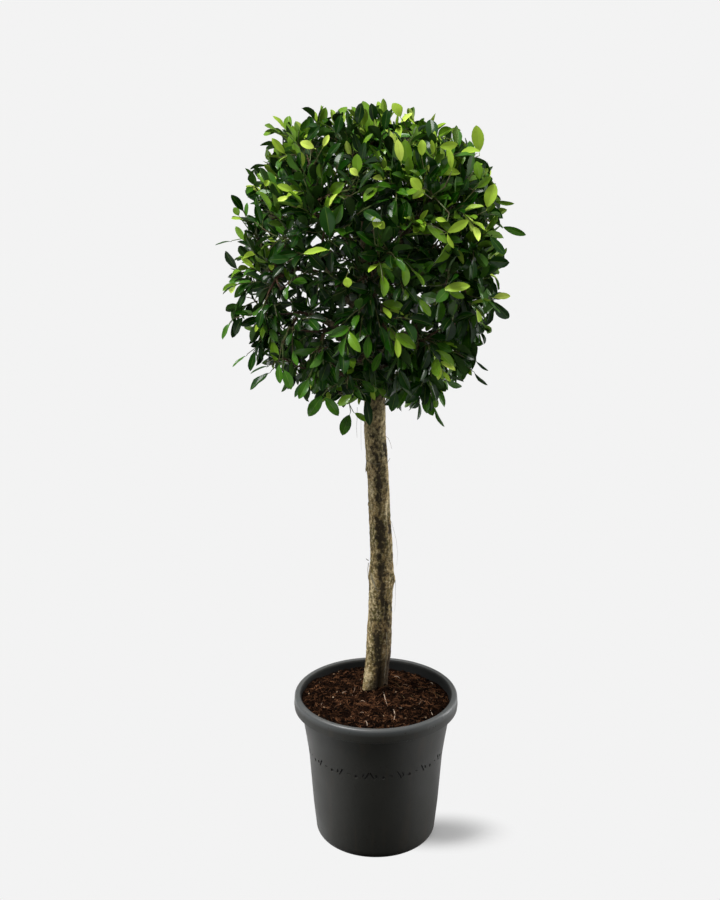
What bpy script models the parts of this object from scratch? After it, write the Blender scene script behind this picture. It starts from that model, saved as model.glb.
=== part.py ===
"""A standard (clear-stemmed) Indian laurel fig in its nursery pot.

Metres, +Z up. The origin is the centre of the pot's flat underside, and -Y is the side that faces the
photograph's camera. Each object is one closed solid: the pot, its soil, the trunk, one bough for each mass
of foliage but the top one, and the masses. The trunk's leader carries the top mass by itself.
"""

import math
import random

import bmesh
import bpy
from mathutils import Matrix, Vector, geometry

UP = Vector((0, 0, 1))
CLEARANCE = 0.0003
MERGE_DISTANCE = 0.00001

# Pot
POT_HEIGHT = 0.3245
RIM_RADIUS = 0.1692
BASE_RADIUS = 0.1252
WALL_SLOPE = 0.0734
BASE_FILLET = 0.023
WALL = 0.003
FLOOR = 0.004
ROLL_RADIUS = 0.007
ROLL_CENTRE_RADIUS = 0.1612
SKIRT_FOOT = 0.296
SKIRT_BULGE_HEIGHT = 0.303
SKIRT_FOOT_RADIUS = 0.1685
FLARE = 0.0085
FLARE_FOOT = 0.195
TURN_STEPS = 26
ROLL_STEPS = 4
UNDER_ROLL_STEPS = 2
FILLET_STEPS = 3
INNER_FILLET_STEPS = 2
DRAIN_HOLES = 8
DRAIN_SIDES = 6
DRAIN_RADIUS = 0.007
DRAIN_RING = 0.078

# Soil, mounded a little towards the trunk
SOIL_EDGE_HEIGHT = 0.309
SOIL_CENTRE_HEIGHT = 0.322
SOIL_FLAT_RADIUS = 0.066
SOIL_SHOULDER = 0.62

# Trunk: (height, sideways offset, radius) up the stem, which stands a little behind the pot's axis
TRUNK_SETBACK = 0.030
TRUNK_STATIONS = (
    (0.322, -0.002, 0.0246),
    (0.405, 0.005, 0.0256),
    (0.505, 0.008, 0.0237),
    (0.562, 0.010, 0.0252),
    (0.620, 0.011, 0.0228),
    (0.745, 0.005, 0.0212),
    (0.895, -0.004, 0.0216),
    (0.980, -0.005, 0.0196),
    (1.090, -0.007, 0.0152),
    (1.180, -0.015, 0.0112),
    (1.275, -0.026, 0.0072),
)
TRUNK_SIDES = 15
TRUNK_RINGS = 18
RING_CROWDING = 1.25
ROOT_LOBES = 5
ROOT_PHASE = 0.8
ROOT_LOBE_DEPTH = 0.10
ROOT_FLARE = 0.08
ROOT_FLARE_HEIGHT = 0.040

# Crown: a squarish globe of leaves round this centre
CROWN_CENTRE = Vector((-0.013, 0.024, 1.222))
CROWN_RADIUS = 0.276
CROWN_HALF_HEIGHT = 0.298
CROWN_SQUARENESS = 2.5
CROWN_TOP = 1.531
CROWN_FOOT = 0.883

# Rings of masses: (name, count, elevation, first azimuth, lowest and highest bough, how far out it reaches)
RINGS = (
    ("lower", 5, -42.0, 18.0, 0.972, 1.015, 0.56),
    ("middle", 6, -3.0, 30.0, 1.062, 1.120, 0.45),
    ("upper", 5, 38.0, 18.0, 1.152, 1.205, 0.42),
    ("top", 1, 90.0, 0.0, 0.0, 0.0, 0.0),
)
HEART_REACH = 0.62
STEM_REACH = 0.74
BOUGH_BEND = 0.55
BOUGH_RISE = 0.035
BOUGH_BASE_RADIUS = 0.0085
BOUGH_TIP_RADIUS = 0.0048
BOUGH_POINTS = 5
BOUGH_BEVEL_RESOLUTION = 1
# Steps between boughs that leave the trunk one above the other, in a ring of an even and of an odd count
BOUGH_ORDER = (3, 2)
CELL_GAP = 0.0008
LIMB_CLEARANCE = 0.0015
LIMB_STEP = 0.005

# Twigs
SEED = 41
GOLDEN_ANGLE = math.radians(137.508)
TIP_COUNT = 160
TIP_REACH = (0.90, 1.03)
TIP_THINNING = 0.10
THINNED_BELOW = 0.2
TIP_PULL_IN = 0.052
STEM_BEND = 0.35
STEM_TIP_RADIUS = 0.0030
LEADER_STEM_SHARE = 0.72
TWIG_BASE_RADIUS = 0.0027
TWIG_TIP_RADIUS = 0.0018
TWIG_TO_PARENT = 0.85
TWIG_SHORTEST = 0.020
TWIG_ROOT_DEPTH = 0.3
FORK_PLACES = (0.15, 0.35, 0.55, 0.75, 0.95)
FORK_NARROWEST = math.radians(15)
FORK_WIDEST = math.radians(80)
FORK_TURN_COST = 0.5

# Leaves
LEAF_LENGTH = 0.087
LEAF_WIDTH = 0.047
LEAF_THICKNESS = 0.0018
LEAF_SIZES = (0.88, 1.08)
LEAF_WIDEST = 0.46
LEAF_CUP = 0.0035
LEAF_TIP_CURL = 0.05
LEAFY_SHARE = 0.62
FEWEST_LEAVES = 2
LEAF_SPACING = 0.0115
LEAF_TRIES = 9
LEAF_LIMIT = 1.10
TIP_LEAF_PLACE = 0.985
TIP_LEAF_SPREAD = math.radians(22)
LEAF_SPREAD = math.radians(52)
SPREAD_STEP = 0.15
OUTWARD_PULL = 0.25
DROOP = -0.10
DROOP_BELOW = 0.42
LIFT_ABOVE = 0.20
DROOP_JITTER = 0.15
LIGHT_UP = 0.45
LIGHT_OUT = 0.85
LIGHT_JITTER = 0.45

# Colour and roughness of each plain material
PLASTIC = ((0.045, 0.047, 0.045), 0.55)
POTTING_MIX = ((0.045, 0.024, 0.014), 0.95)
BARK = ((0.16, 0.13, 0.08), 0.85)
LEAF = ((0.035, 0.095, 0.022), 0.35)


# Scene, collections and materials

def clear_scene():
    for obj in list(bpy.data.objects):
        bpy.data.objects.remove(obj, do_unlink=True)


def new_collection(name):
    collection = bpy.data.collections.new(name)
    bpy.context.scene.collection.children.link(collection)
    return collection


def new_material(name, colour, roughness):
    material = bpy.data.materials.new(name)
    material.use_nodes = True
    shader = material.node_tree.nodes["Principled BSDF"]
    shader.inputs["Base Color"].default_value = (*colour, 1.0)
    shader.inputs["Roughness"].default_value = roughness
    shader.inputs["Metallic"].default_value = 0.0
    return material


def add_object(name, mesh, material, collection):
    obj = bpy.data.objects.new(name, mesh)
    collection.objects.link(obj)
    if material is not None:
        mesh.materials.append(material)
    return obj


def mesh_from(name, bm):
    """The finished mesh of a closed form, with its faces pointing out."""
    bmesh.ops.recalc_face_normals(bm, faces=bm.faces)
    if bm.calc_volume(signed=True) < 0:
        bmesh.ops.reverse_faces(bm, faces=bm.faces)
    mesh = bpy.data.meshes.new(name)
    bm.to_mesh(mesh)
    bm.free()
    return mesh


def evaluated_mesh(obj):
    bpy.context.view_layer.update()
    graph = bpy.context.evaluated_depsgraph_get()
    return bpy.data.meshes.new_from_object(obj.evaluated_get(graph))


def as_cutter(obj):
    obj.hide_render = True
    obj.display_type = "WIRE"
    return obj


def add_boolean(obj, name, operation, solver, cutter=None, cutters=None):
    modifier = obj.modifiers.new(name, "BOOLEAN")
    modifier.operation = operation
    modifier.solver = solver
    if cutters is not None:
        modifier.operand_type = "COLLECTION"
        modifier.collection = cutters
    else:
        modifier.object = cutter


# Pot and soil

def arc(centre, radius, first, last, steps):
    """Points (distance from the axis, height) along an arc of a turned profile, angles in degrees."""
    points = []
    for i in range(steps + 1):
        angle = math.radians(first + (last - first) * i / steps)
        points.append((centre[0] + radius * math.cos(angle), centre[1] + radius * math.sin(angle)))
    return points


def wall_radius(height):
    """Outer radius of the pot's wall at a height: a taper that flares out under the rim."""
    share = max(0.0, (height - FLARE_FOOT) / (SKIRT_FOOT - FLARE_FOOT))
    return BASE_RADIUS + WALL_SLOPE * height + FLARE * share


def flare_line(depth):
    """Both ends of the flared stretch of the wall, a depth inside its outer face."""
    return [(wall_radius(height) - depth, height) for height in (FLARE_FOOT, SKIRT_FOOT)]


def turned(name, profile, material, collection):
    """Turns a profile of (radius, height) points, both ends on the axis, into a solid."""
    bm = bmesh.new()
    verts = [bm.verts.new((radius, 0, height)) for radius, height in profile]
    for a, b in zip(verts, verts[1:]):
        bm.edges.new((a, b))
    mesh = bpy.data.meshes.new(name)
    bm.to_mesh(mesh)
    bm.free()
    obj = add_object(name, mesh, material, collection)
    screw = obj.modifiers.new("Turn", "SCREW")
    screw.axis = "Z"
    screw.steps = TURN_STEPS
    screw.render_steps = TURN_STEPS
    screw.use_merge_vertices = True
    screw.merge_threshold = MERGE_DISTANCE
    return obj


def pot_profile():
    """From the floor's middle up the inner wall, over the rolled rim and down the outside to the base."""
    roll = (ROLL_CENTRE_RADIUS, POT_HEIGHT - ROLL_RADIUS)
    fillet = BASE_FILLET - WALL
    points = [(0.0, FLOOR)]
    points += arc((wall_radius(FLOOR) - BASE_FILLET, FLOOR + fillet), fillet, -90, 0, INNER_FILLET_STEPS)
    points += flare_line(WALL)
    points += arc(roll, ROLL_RADIUS, 180, 0, ROLL_STEPS)
    points.append((RIM_RADIUS, SKIRT_BULGE_HEIGHT))
    points.append((SKIRT_FOOT_RADIUS, SKIRT_FOOT))
    points.append((SKIRT_FOOT_RADIUS - WALL, SKIRT_FOOT))
    points += arc(roll, ROLL_RADIUS - WALL, 0, 180, UNDER_ROLL_STEPS)
    points += reversed(flare_line(0.0))
    points += arc((wall_radius(0) - BASE_FILLET, BASE_FILLET), BASE_FILLET, 0, -90, FILLET_STEPS)
    points.append((0.0, 0.0))
    return points


def drain_cutter(number, collection):
    angle = 2 * math.pi * (number + 0.5) / DRAIN_HOLES
    bm = bmesh.new()
    bmesh.ops.create_cone(
        bm,
        cap_ends=True,
        segments=DRAIN_SIDES,
        radius1=DRAIN_RADIUS,
        radius2=DRAIN_RADIUS,
        depth=4 * FLOOR,
        matrix=Matrix.Translation((DRAIN_RING * math.cos(angle), DRAIN_RING * math.sin(angle), 0)),
    )
    name = f"drain_cutter_{number + 1}"
    return as_cutter(add_object(name, mesh_from(name, bm), None, collection))


def make_pot(material, collection, cutters):
    pot = turned("pot", pot_profile(), material, collection)
    drains = bpy.data.collections.new("drain_holes")
    cutters.children.link(drains)
    for number in range(DRAIN_HOLES):
        drain_cutter(number, drains)
    add_boolean(pot, "Drains", "DIFFERENCE", "EXACT", cutters=drains)


def soil_profile():
    """From the mound's flat middle out to the wall, then down inside the wall to the floor."""
    inside = flare_line(WALL + CLEARANCE)
    edge = inside[-1][0]
    fillet = BASE_FILLET - WALL
    shoulder = SOIL_EDGE_HEIGHT + SOIL_SHOULDER * (SOIL_CENTRE_HEIGHT - SOIL_EDGE_HEIGHT)
    profile = [
        (0.0, SOIL_CENTRE_HEIGHT),
        (SOIL_FLAT_RADIUS, SOIL_CENTRE_HEIGHT),
        ((SOIL_FLAT_RADIUS + edge) / 2, shoulder),
        (edge, SOIL_EDGE_HEIGHT),
    ]
    profile += reversed(inside)
    corner = (wall_radius(FLOOR) - BASE_FILLET, FLOOR + fillet)
    profile += arc(corner, fillet - CLEARANCE, 0, -90, INNER_FILLET_STEPS)
    profile.append((0.0, FLOOR + CLEARANCE))
    return profile


# Trunk and boughs

def trunk_value(height, column):
    """The trunk's offset or radius at a height, eased between stations."""
    for low, high in zip(TRUNK_STATIONS, TRUNK_STATIONS[1:]):
        if height <= high[0]:
            share = max(0.0, (height - low[0]) / (high[0] - low[0]))
            eased = (share + share * share * (3 - 2 * share)) / 2
            return low[column] + (high[column] - low[column]) * eased
    return TRUNK_STATIONS[-1][column]


def trunk_point(height):
    return Vector((trunk_value(height, 1), TRUNK_SETBACK, height))


def trunk_radius(height):
    return trunk_value(height, 2)


def root_flare(height, angle):
    """Factor on the trunk's radius near the soil, with a lobe over each main root."""
    fade = math.exp((TRUNK_STATIONS[0][0] - height) / ROOT_FLARE_HEIGHT)
    return 1 + fade * (ROOT_FLARE + ROOT_LOBE_DEPTH * math.cos(ROOT_LOBES * angle + ROOT_PHASE))


def make_trunk(name, material, collection, swell=0.0):
    """Lofts the trunk through its unlike sections. swell widens it, to cut the boughs' seats with."""
    low = TRUNK_STATIONS[0][0] + CLEARANCE
    high = TRUNK_STATIONS[-1][0]
    bm = bmesh.new()
    rings = []
    for i in range(TRUNK_RINGS + 1):
        height = low + (high - low) * (i / TRUNK_RINGS) ** RING_CROWDING
        centre = trunk_point(height)
        ring = []
        for s in range(TRUNK_SIDES):
            angle = 2 * math.pi * s / TRUNK_SIDES
            radius = trunk_radius(height) * root_flare(height, angle) + swell
            spoke = Vector((math.cos(angle), math.sin(angle), 0))
            ring.append(bm.verts.new(centre + spoke * radius))
        rings.append(ring)
    for lower, upper in zip(rings, rings[1:]):
        for s in range(TRUNK_SIDES):
            following = (s + 1) % TRUNK_SIDES
            bm.faces.new((lower[s], lower[following], upper[following], upper[s]))
    bm.faces.new(list(reversed(rings[0])))
    bm.faces.new(rings[-1])
    return add_object(name, mesh_from(name, bm), material, collection)


def envelope(direction):
    """Distance from the crown's centre to its outline, along a unit direction."""
    flat = math.hypot(direction.x, direction.y) / CROWN_RADIUS
    tall = abs(direction.z) / CROWN_HALF_HEIGHT
    return (flat**CROWN_SQUARENESS + tall**CROWN_SQUARENESS) ** (-1 / CROWN_SQUARENESS)


def in_crown(direction, reach):
    """The point at a share of the way from the crown's centre to its outline."""
    return CROWN_CENTRE + direction * (envelope(direction) * reach)


def bough_path(start_height, end):
    """Points of a bough: out of the trunk's axis, rising, then bending over towards its mass."""
    start = trunk_point(start_height)
    bend = start.lerp(end, BOUGH_BEND) + UP * BOUGH_RISE
    points = []
    for i in range(BOUGH_POINTS):
        t = i / (BOUGH_POINTS - 1)
        points.append(start * (1 - t) ** 2 + bend * (2 * t * (1 - t)) + end * t**2)
    return points


def plan_masses():
    """Name, heart, bough path and stem of each mass, ring by ring."""
    masses = []
    for ring, count, elevation, first, low, high, bough_reach in RINGS:
        tilt = math.radians(elevation)
        for i in range(count):
            azimuth = math.radians(first + 360.0 * i / count)
            flat = Vector((math.cos(azimuth), math.sin(azimuth), 0))
            direction = flat * math.cos(tilt) + UP * math.sin(tilt)
            mass = {
                "name": ring if count == 1 else f"{ring}_{i + 1}",
                "heart": in_crown(direction, HEART_REACH),
                "stem_end": in_crown(direction, STEM_REACH),
                "path": None,
            }
            if count > 1:
                # Neighbours leave the trunk at spread heights.
                order = (i * BOUGH_ORDER[count % 2]) % count
                start_height = low + (high - low) * order / (count - 1)
                mass["path"] = bough_path(start_height, in_crown(direction, bough_reach))
            masses.append(mass)
    return masses


def bough_radius(share):
    return BOUGH_BASE_RADIUS + (BOUGH_TIP_RADIUS - BOUGH_BASE_RADIUS) * share


def make_bough(mass, material, collection, trunk_cutter):
    """A tapering curve from the trunk's axis, made a mesh and cut back to the trunk's skin."""
    name = f"bough_{mass['name']}"
    curve = bpy.data.curves.new(name, "CURVE")
    curve.dimensions = "3D"
    curve.bevel_depth = BOUGH_BASE_RADIUS
    curve.bevel_resolution = BOUGH_BEVEL_RESOLUTION
    curve.use_fill_caps = True
    spline = curve.splines.new("POLY")
    spline.points.add(BOUGH_POINTS - 1)
    for i, point in enumerate(mass["path"]):
        spline.points[i].co = (*point, 1)
        spline.points[i].radius = bough_radius(i / (BOUGH_POINTS - 1)) / BOUGH_BASE_RADIUS
    rod = bpy.data.objects.new(name + "_curve", curve)
    collection.objects.link(rod)
    mesh = evaluated_mesh(rod)
    bpy.data.objects.remove(rod)
    bm = bmesh.new()
    bm.from_mesh(mesh)
    bmesh.ops.remove_doubles(bm, verts=bm.verts, dist=MERGE_DISTANCE)
    bough = add_object(name, mesh_from(name, bm), material, collection)
    add_boolean(bough, "Seat", "DIFFERENCE", "EXACT", cutter=trunk_cutter)


# Space: each mass's own cell, and the limbs to keep clear of

def inside_cell(point, mass, masses, gap):
    """True where a point is in the mass's own space, nearer its heart than any other's."""
    for other in masses:
        if other is mass:
            continue
        across = (other["heart"] - mass["heart"]).normalized()
        middle = (other["heart"] + mass["heart"]) / 2
        if (point - middle).dot(across) > -gap:
            return False
    return True


def limb_samples(masses):
    """(point, radius) close together along the trunk and every bough."""
    samples = []
    low = CROWN_FOOT - LEAF_LENGTH
    steps = math.ceil((TRUNK_STATIONS[-1][0] - low) / LIMB_STEP)
    for i in range(steps + 1):
        height = low + (TRUNK_STATIONS[-1][0] - low) * i / steps
        samples.append((trunk_point(height), trunk_radius(height)))
    for mass in masses:
        if mass["path"] is None:
            continue
        for i, (a, b) in enumerate(zip(mass["path"], mass["path"][1:])):
            steps = math.ceil((b - a).length / LIMB_STEP)
            for k in range(steps + 1):
                radius = bough_radius((i + k / steps) / (BOUGH_POINTS - 1))
                samples.append((a.lerp(b, k / steps), radius))
    return samples


def twig_is_clear(start, end, radius, samples):
    for point, limb_radius in samples:
        nearest, share = geometry.intersect_point_line(point, start, end)
        if share < 0:
            nearest = start
        elif share > 1:
            nearest = end
        if (nearest - point).length < radius + limb_radius + LIMB_CLEARANCE:
            return False
    return True


# Leaves as the four corners of their outline: base, left edge, tip and right edge

def leaf_triangles(corners):
    base, left, tip, right = corners
    return (base, left, tip), (base, tip, right)


def leaf_middle(corners):
    return corners[0].lerp(corners[2], 0.5)


def leaf_is_clear(corners, samples):
    for point, limb_radius in samples:
        if (point - leaf_middle(corners)).length > LEAF_LENGTH + limb_radius:
            continue
        for triangle in leaf_triangles(corners):
            nearest = geometry.closest_point_on_tri(point, *triangle)
            if (nearest - point).length < limb_radius + LEAF_THICKNESS + LIMB_CLEARANCE:
                return False
    return True


def segment_cuts(start, end, corners):
    """True where the stretch from start to end passes through the leaf."""
    reach = end - start
    for triangle in leaf_triangles(corners):
        hit = geometry.intersect_ray_tri(*triangle, reach, start, True)
        if hit is not None and 0 < (hit - start).dot(reach) < reach.length_squared:
            return True
    return False


def leaves_cross(first, second):
    if (leaf_middle(first) - leaf_middle(second)).length > LEAF_LENGTH * LEAF_SIZES[1]:
        return False
    for one, other in ((first, second), (second, first)):
        base, left, tip, right = one
        sides = ((base, left), (left, tip), (tip, right), (right, base), (base, tip))
        if any(segment_cuts(a, b, other) for a, b in sides):
            return True
    return False


def leaf_fits(corners, mass, masses, samples):
    """True where a leaf keeps to its mass's space and the crown's outline, and is clear of the limbs."""
    if not all(inside_cell(corner, mass, masses, CELL_GAP + LEAF_THICKNESS) for corner in corners):
        return False
    if not CROWN_FOOT < corners[2].z < CROWN_TOP:
        return False
    for corner in corners:
        from_centre = corner - CROWN_CENTRE
        if from_centre.length > envelope(from_centre.normalized()) * LEAF_LIMIT:
            return False
    return leaf_is_clear(corners, samples)


# Growth rule

def crown_tips(rng):
    """Directions spread evenly over the crown, each with how far out its twig aims for."""
    tips = []
    for i in range(TIP_COUNT):
        z = 1 - 2 * (i + 0.5) / TIP_COUNT
        azimuth = i * GOLDEN_ANGLE
        flat = math.sqrt(1 - z * z)
        direction = Vector((flat * math.cos(azimuth), flat * math.sin(azimuth), z))
        reach = rng.uniform(*TIP_REACH)
        thinning = TIP_THINNING if z < THINNED_BELOW else 0.0
        if rng.random() >= thinning:
            tips.append((direction, reach))
    return tips


def stem_of(mass):
    """The mass's stem as two twigs, which go on from the bough's tip, or from the trunk's."""
    if mass["path"] is None:
        foot = trunk_point(TRUNK_STATIONS[-1][0])
        heading = UP
        foot_radius = TRUNK_STATIONS[-1][2] * LEADER_STEM_SHARE
    else:
        foot = mass["path"][-1]
        heading = (foot - mass["path"][-2]).normalized()
        foot_radius = BOUGH_TIP_RADIUS
    start = foot + heading * CLEARANCE
    bend = start + heading * (STEM_BEND * (mass["stem_end"] - start).length)
    bend_radius = (foot_radius + STEM_TIP_RADIUS) / 2
    return [
        (start, bend, foot_radius, bend_radius),
        (bend, mass["stem_end"], bend_radius, STEM_TIP_RADIUS),
    ]


def best_fork(aim, twigs):
    """Where a new twig forks off to reach a tip with the least wood and turn, and its radius."""
    best = None
    for start, end, start_radius, end_radius in twigs:
        for share in FORK_PLACES:
            fork = start.lerp(end, share)
            reach = aim - fork
            if reach.length < TWIG_SHORTEST:
                continue
            angle = (end - start).angle(reach)
            if not FORK_NARROWEST < angle < FORK_WIDEST:
                continue
            cost = reach.length * (1 + FORK_TURN_COST * (1 - math.cos(angle)))
            if best is None or cost < best[0]:
                parent_radius = start_radius + (end_radius - start_radius) * share
                best = (cost, fork, min(TWIG_BASE_RADIUS, TWIG_TO_PARENT * parent_radius))
    return best


def plan_twigs(mass, masses, tips, samples):
    """The mass's stem and twigs as (start, end, start radius, end radius), nearest tips first."""
    twigs = stem_of(mass)
    aims = []
    for direction, reach in tips:
        aim = in_crown(direction, reach) - direction * TIP_PULL_IN
        if min(masses, key=lambda other: (other["heart"] - aim).length) is mass:
            aims.append(aim)
    aims.sort(key=lambda aim: (aim - mass["stem_end"]).length)
    for aim in aims:
        best = best_fork(aim, twigs)
        if best is None:
            continue
        _, fork, radius = best
        inside = inside_cell(aim, mass, masses, CELL_GAP + TWIG_TIP_RADIUS)
        inside = inside and inside_cell(fork, mass, masses, CELL_GAP + radius)
        if inside and twig_is_clear(fork, aim, radius, samples):
            twigs.append((fork, aim, radius, TWIG_TIP_RADIUS))
    return twigs


def leaf_corners(base, heading, outward, length, rng):
    """A leaf that leaves its twig along heading, droops low in the crown and faces the light."""
    droop = DROOP - DROOP_BELOW * max(0.0, -outward.z) + LIFT_ABOVE * max(0.0, outward.z)
    axis = (heading + UP * (droop + rng.uniform(-DROOP_JITTER, DROOP_JITTER))).normalized()
    jitter = Vector((rng.uniform(-1, 1), rng.uniform(-1, 1), rng.uniform(-1, 1)))
    light = UP * LIGHT_UP + outward * LIGHT_OUT + jitter * LIGHT_JITTER
    normal = (light - axis * light.dot(axis)).normalized()
    side = axis.cross(normal)
    half_width = LEAF_WIDTH / LEAF_LENGTH * length / 2
    widest = base + axis * (LEAF_WIDEST * length) + normal * LEAF_CUP
    tip = base + axis * length - normal * (LEAF_TIP_CURL * length)
    return (base, widest + side * half_width, tip, widest - side * half_width), normal


def plan_leaves(mass, masses, twigs, samples, rng):
    """(corners, normal) of each leaf, in a spiral down each twig, that fits and crosses no other."""
    leaves = []
    for number, (start, end, _, _) in enumerate(twigs):
        if number == 0:
            continue
        along = (end - start).normalized()
        across = along.orthogonal().normalized()
        others = [twig for k, twig in enumerate(twigs) if k != number]
        count = max(FEWEST_LEAVES, round(LEAFY_SHARE * (end - start).length / LEAF_SPACING))
        turn = rng.uniform(0, 2 * math.pi)
        for i in range(count + 1):
            share = 1.0 - LEAFY_SHARE * i / count
            spot = start.lerp(end, share if i else TIP_LEAF_PLACE)
            outward = (spot - CROWN_CENTRE).normalized()
            length = LEAF_LENGTH * rng.uniform(*LEAF_SIZES)
            for attempt in range(LEAF_TRIES):
                turn += GOLDEN_ANGLE
                spread = (LEAF_SPREAD if i else TIP_LEAF_SPREAD) * (1 + SPREAD_STEP * attempt)
                round_twig = across * math.cos(turn) + along.cross(across) * math.sin(turn)
                heading = along * math.cos(spread) + round_twig * math.sin(spread) + outward * OUTWARD_PULL
                corners, normal = leaf_corners(spot, heading.normalized(), outward, length, rng)
                if not leaf_fits(corners, mass, masses, samples):
                    continue
                if any(segment_cuts(a, b, corners) for a, b, _, _ in others):
                    continue
                if any(leaves_cross(corners, placed) for placed, _ in leaves):
                    continue
                leaves.append((corners, normal))
                break
    return leaves


# Foliage meshes

def twig_mesh(start, end, start_radius, end_radius):
    """A three-sided tapering twig."""
    along = end - start
    turn = along.to_track_quat("Z", "Y").to_matrix().to_4x4()
    bm = bmesh.new()
    bmesh.ops.create_cone(
        bm,
        cap_ends=True,
        segments=3,
        radius1=start_radius,
        radius2=end_radius,
        depth=along.length,
        matrix=Matrix.Translation((start + end) / 2) @ turn,
    )
    return mesh_from("twig", bm)


def leaf_mesh(corners, normal):
    """A closed leaf: a cone of four sides, its foot drawn out to the leaf's outline, its point below."""
    base, left, tip, right = corners
    places = {(1, 0): tip, (0, 1): left, (-1, 0): base, (0, -1): right}
    bm = bmesh.new()
    bmesh.ops.create_cone(bm, cap_ends=True, segments=4, radius1=1.0, radius2=0.0, depth=1.0)
    across = []
    for vert in bm.verts:
        place = places.get((round(vert.co.x), round(vert.co.y)))
        if place is None:
            vert.co = left.lerp(right, 0.5) - normal * LEAF_THICKNESS
        else:
            vert.co = place
            if place in (left, right):
                across.append(vert)
    bmesh.ops.connect_verts(bm, verts=across)
    return mesh_from("leaf", bm)


def keep_outer_shell(obj):
    """Fills the hollows that the union sealed and drops loose scraps: only the largest shell stays."""
    bm = bmesh.new()
    bm.from_mesh(obj.data)
    unseen = set(bm.faces)
    shells = []
    while unseen:
        shell = []
        stack = [unseen.pop()]
        while stack:
            face = stack.pop()
            shell.append(face)
            for vert in face.verts:
                for neighbour in vert.link_faces:
                    if neighbour in unseen:
                        unseen.remove(neighbour)
                        stack.append(neighbour)
        shells.append(shell)
    shells.sort(key=len)
    spare = [face for shell in shells[:-1] for face in shell]
    bmesh.ops.delete(bm, geom=spare, context="FACES")
    bm.to_mesh(obj.data)
    bm.free()


def make_mass(mass, masses, tips, samples, rng, material, collection):
    """Grows one mass, and joins its stem, twigs and leaves into one solid."""
    twigs = plan_twigs(mass, masses, tips, samples)
    leaves = plan_leaves(mass, masses, twigs, samples, rng)
    name = f"foliage_{mass['name']}"
    pieces = new_collection(name + "_pieces")
    for start, end, start_radius, end_radius in twigs[1:]:
        root = start - (end - start).normalized() * (TWIG_ROOT_DEPTH * start_radius)
        add_object("twig", twig_mesh(root, end, start_radius, end_radius), None, pieces)
    for corners, normal in leaves:
        add_object("leaf", leaf_mesh(corners, normal), None, pieces)
    stem = add_object(name, twig_mesh(*twigs[0]), material, collection)
    add_boolean(stem, "Join", "UNION", "MANIFOLD", cutters=pieces)
    joined = evaluated_mesh(stem)
    stem.modifiers.clear()
    stem.data = joined
    for obj in list(pieces.objects):
        bpy.data.objects.remove(obj, do_unlink=True)
    bpy.data.collections.remove(pieces)
    keep_outer_shell(stem)
    print(f"{name}: {len(twigs)} twigs, {len(leaves)} leaves")


def main():
    clear_scene()
    parts = new_collection("potted_fig")
    cutters = new_collection("cutters")
    pot_plastic = new_material("pot_plastic", *PLASTIC)
    potting_mix = new_material("potting_mix", *POTTING_MIX)
    bark = new_material("bark", *BARK)
    leaf_green = new_material("leaf_green", *LEAF)

    make_pot(pot_plastic, parts, cutters)
    turned("soil", soil_profile(), potting_mix, parts)
    make_trunk("trunk", bark, parts)
    trunk_cutter = as_cutter(make_trunk("trunk_cutter", None, cutters, swell=CLEARANCE))

    masses = plan_masses()
    samples = limb_samples(masses)
    tips = crown_tips(random.Random(SEED))
    for index, mass in enumerate(masses):
        if mass["path"] is not None:
            make_bough(mass, bark, parts, trunk_cutter)
        make_mass(mass, masses, tips, samples, random.Random(SEED + index + 1), leaf_green, parts)


main()
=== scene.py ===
# %% [markdown]
# # A potted Indian laurel fig
#
# The real plant is a standard: a fig with one bare stem, a clipped globe of small glossy leaves, and a
# charcoal nursery pot full of brown potting mix. This lesson dresses a plain solid model of it. The solids
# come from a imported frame, so every piece is built in place around them, in metres, with the origin under
# the middle of the pot and the viewer on the -Y side.

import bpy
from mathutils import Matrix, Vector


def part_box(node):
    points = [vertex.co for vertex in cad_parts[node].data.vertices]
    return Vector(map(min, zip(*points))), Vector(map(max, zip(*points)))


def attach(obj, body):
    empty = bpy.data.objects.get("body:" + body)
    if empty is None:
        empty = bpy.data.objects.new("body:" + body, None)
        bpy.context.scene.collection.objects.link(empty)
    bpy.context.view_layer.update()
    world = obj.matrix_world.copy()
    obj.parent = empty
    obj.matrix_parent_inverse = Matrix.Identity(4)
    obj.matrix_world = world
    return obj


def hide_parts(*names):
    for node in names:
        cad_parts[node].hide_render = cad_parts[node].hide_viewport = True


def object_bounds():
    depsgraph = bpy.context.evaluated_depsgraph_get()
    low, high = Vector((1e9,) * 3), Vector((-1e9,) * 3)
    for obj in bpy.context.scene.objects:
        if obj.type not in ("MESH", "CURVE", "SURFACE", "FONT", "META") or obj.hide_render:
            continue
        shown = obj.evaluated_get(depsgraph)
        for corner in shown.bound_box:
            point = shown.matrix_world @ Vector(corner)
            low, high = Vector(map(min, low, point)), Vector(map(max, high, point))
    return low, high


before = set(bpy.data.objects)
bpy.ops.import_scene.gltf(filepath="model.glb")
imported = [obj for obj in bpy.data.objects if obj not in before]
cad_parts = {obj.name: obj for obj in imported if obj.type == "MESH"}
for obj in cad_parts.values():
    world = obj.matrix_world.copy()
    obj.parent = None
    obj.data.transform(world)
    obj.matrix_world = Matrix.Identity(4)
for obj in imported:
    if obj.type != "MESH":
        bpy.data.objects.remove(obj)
CAD_LOW, CAD_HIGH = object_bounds()
print("solid model:", [round(high - low, 3) for low, high in zip(CAD_LOW, CAD_HIGH)])

# %% Modules
import random
from math import asin, ceil, cos, exp, hypot, pi, radians, sin, sqrt

import bpy
import numpy as np
from mathutils import Matrix, Vector, geometry, noise

# %% [markdown]
# ## Working by hand, in code
#
# Blender's operators act on whatever is selected, as they do by hand. Small helpers keep that tidy: one
# clears the selection, one starts editing a new primitive, and one closes the work on a piece by naming it,
# giving it its materials and tying it to the frame.

# %% Helpers for operators
UP = Vector((0, 0, 1))
MERGE_DISTANCE = 0.00001


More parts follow.
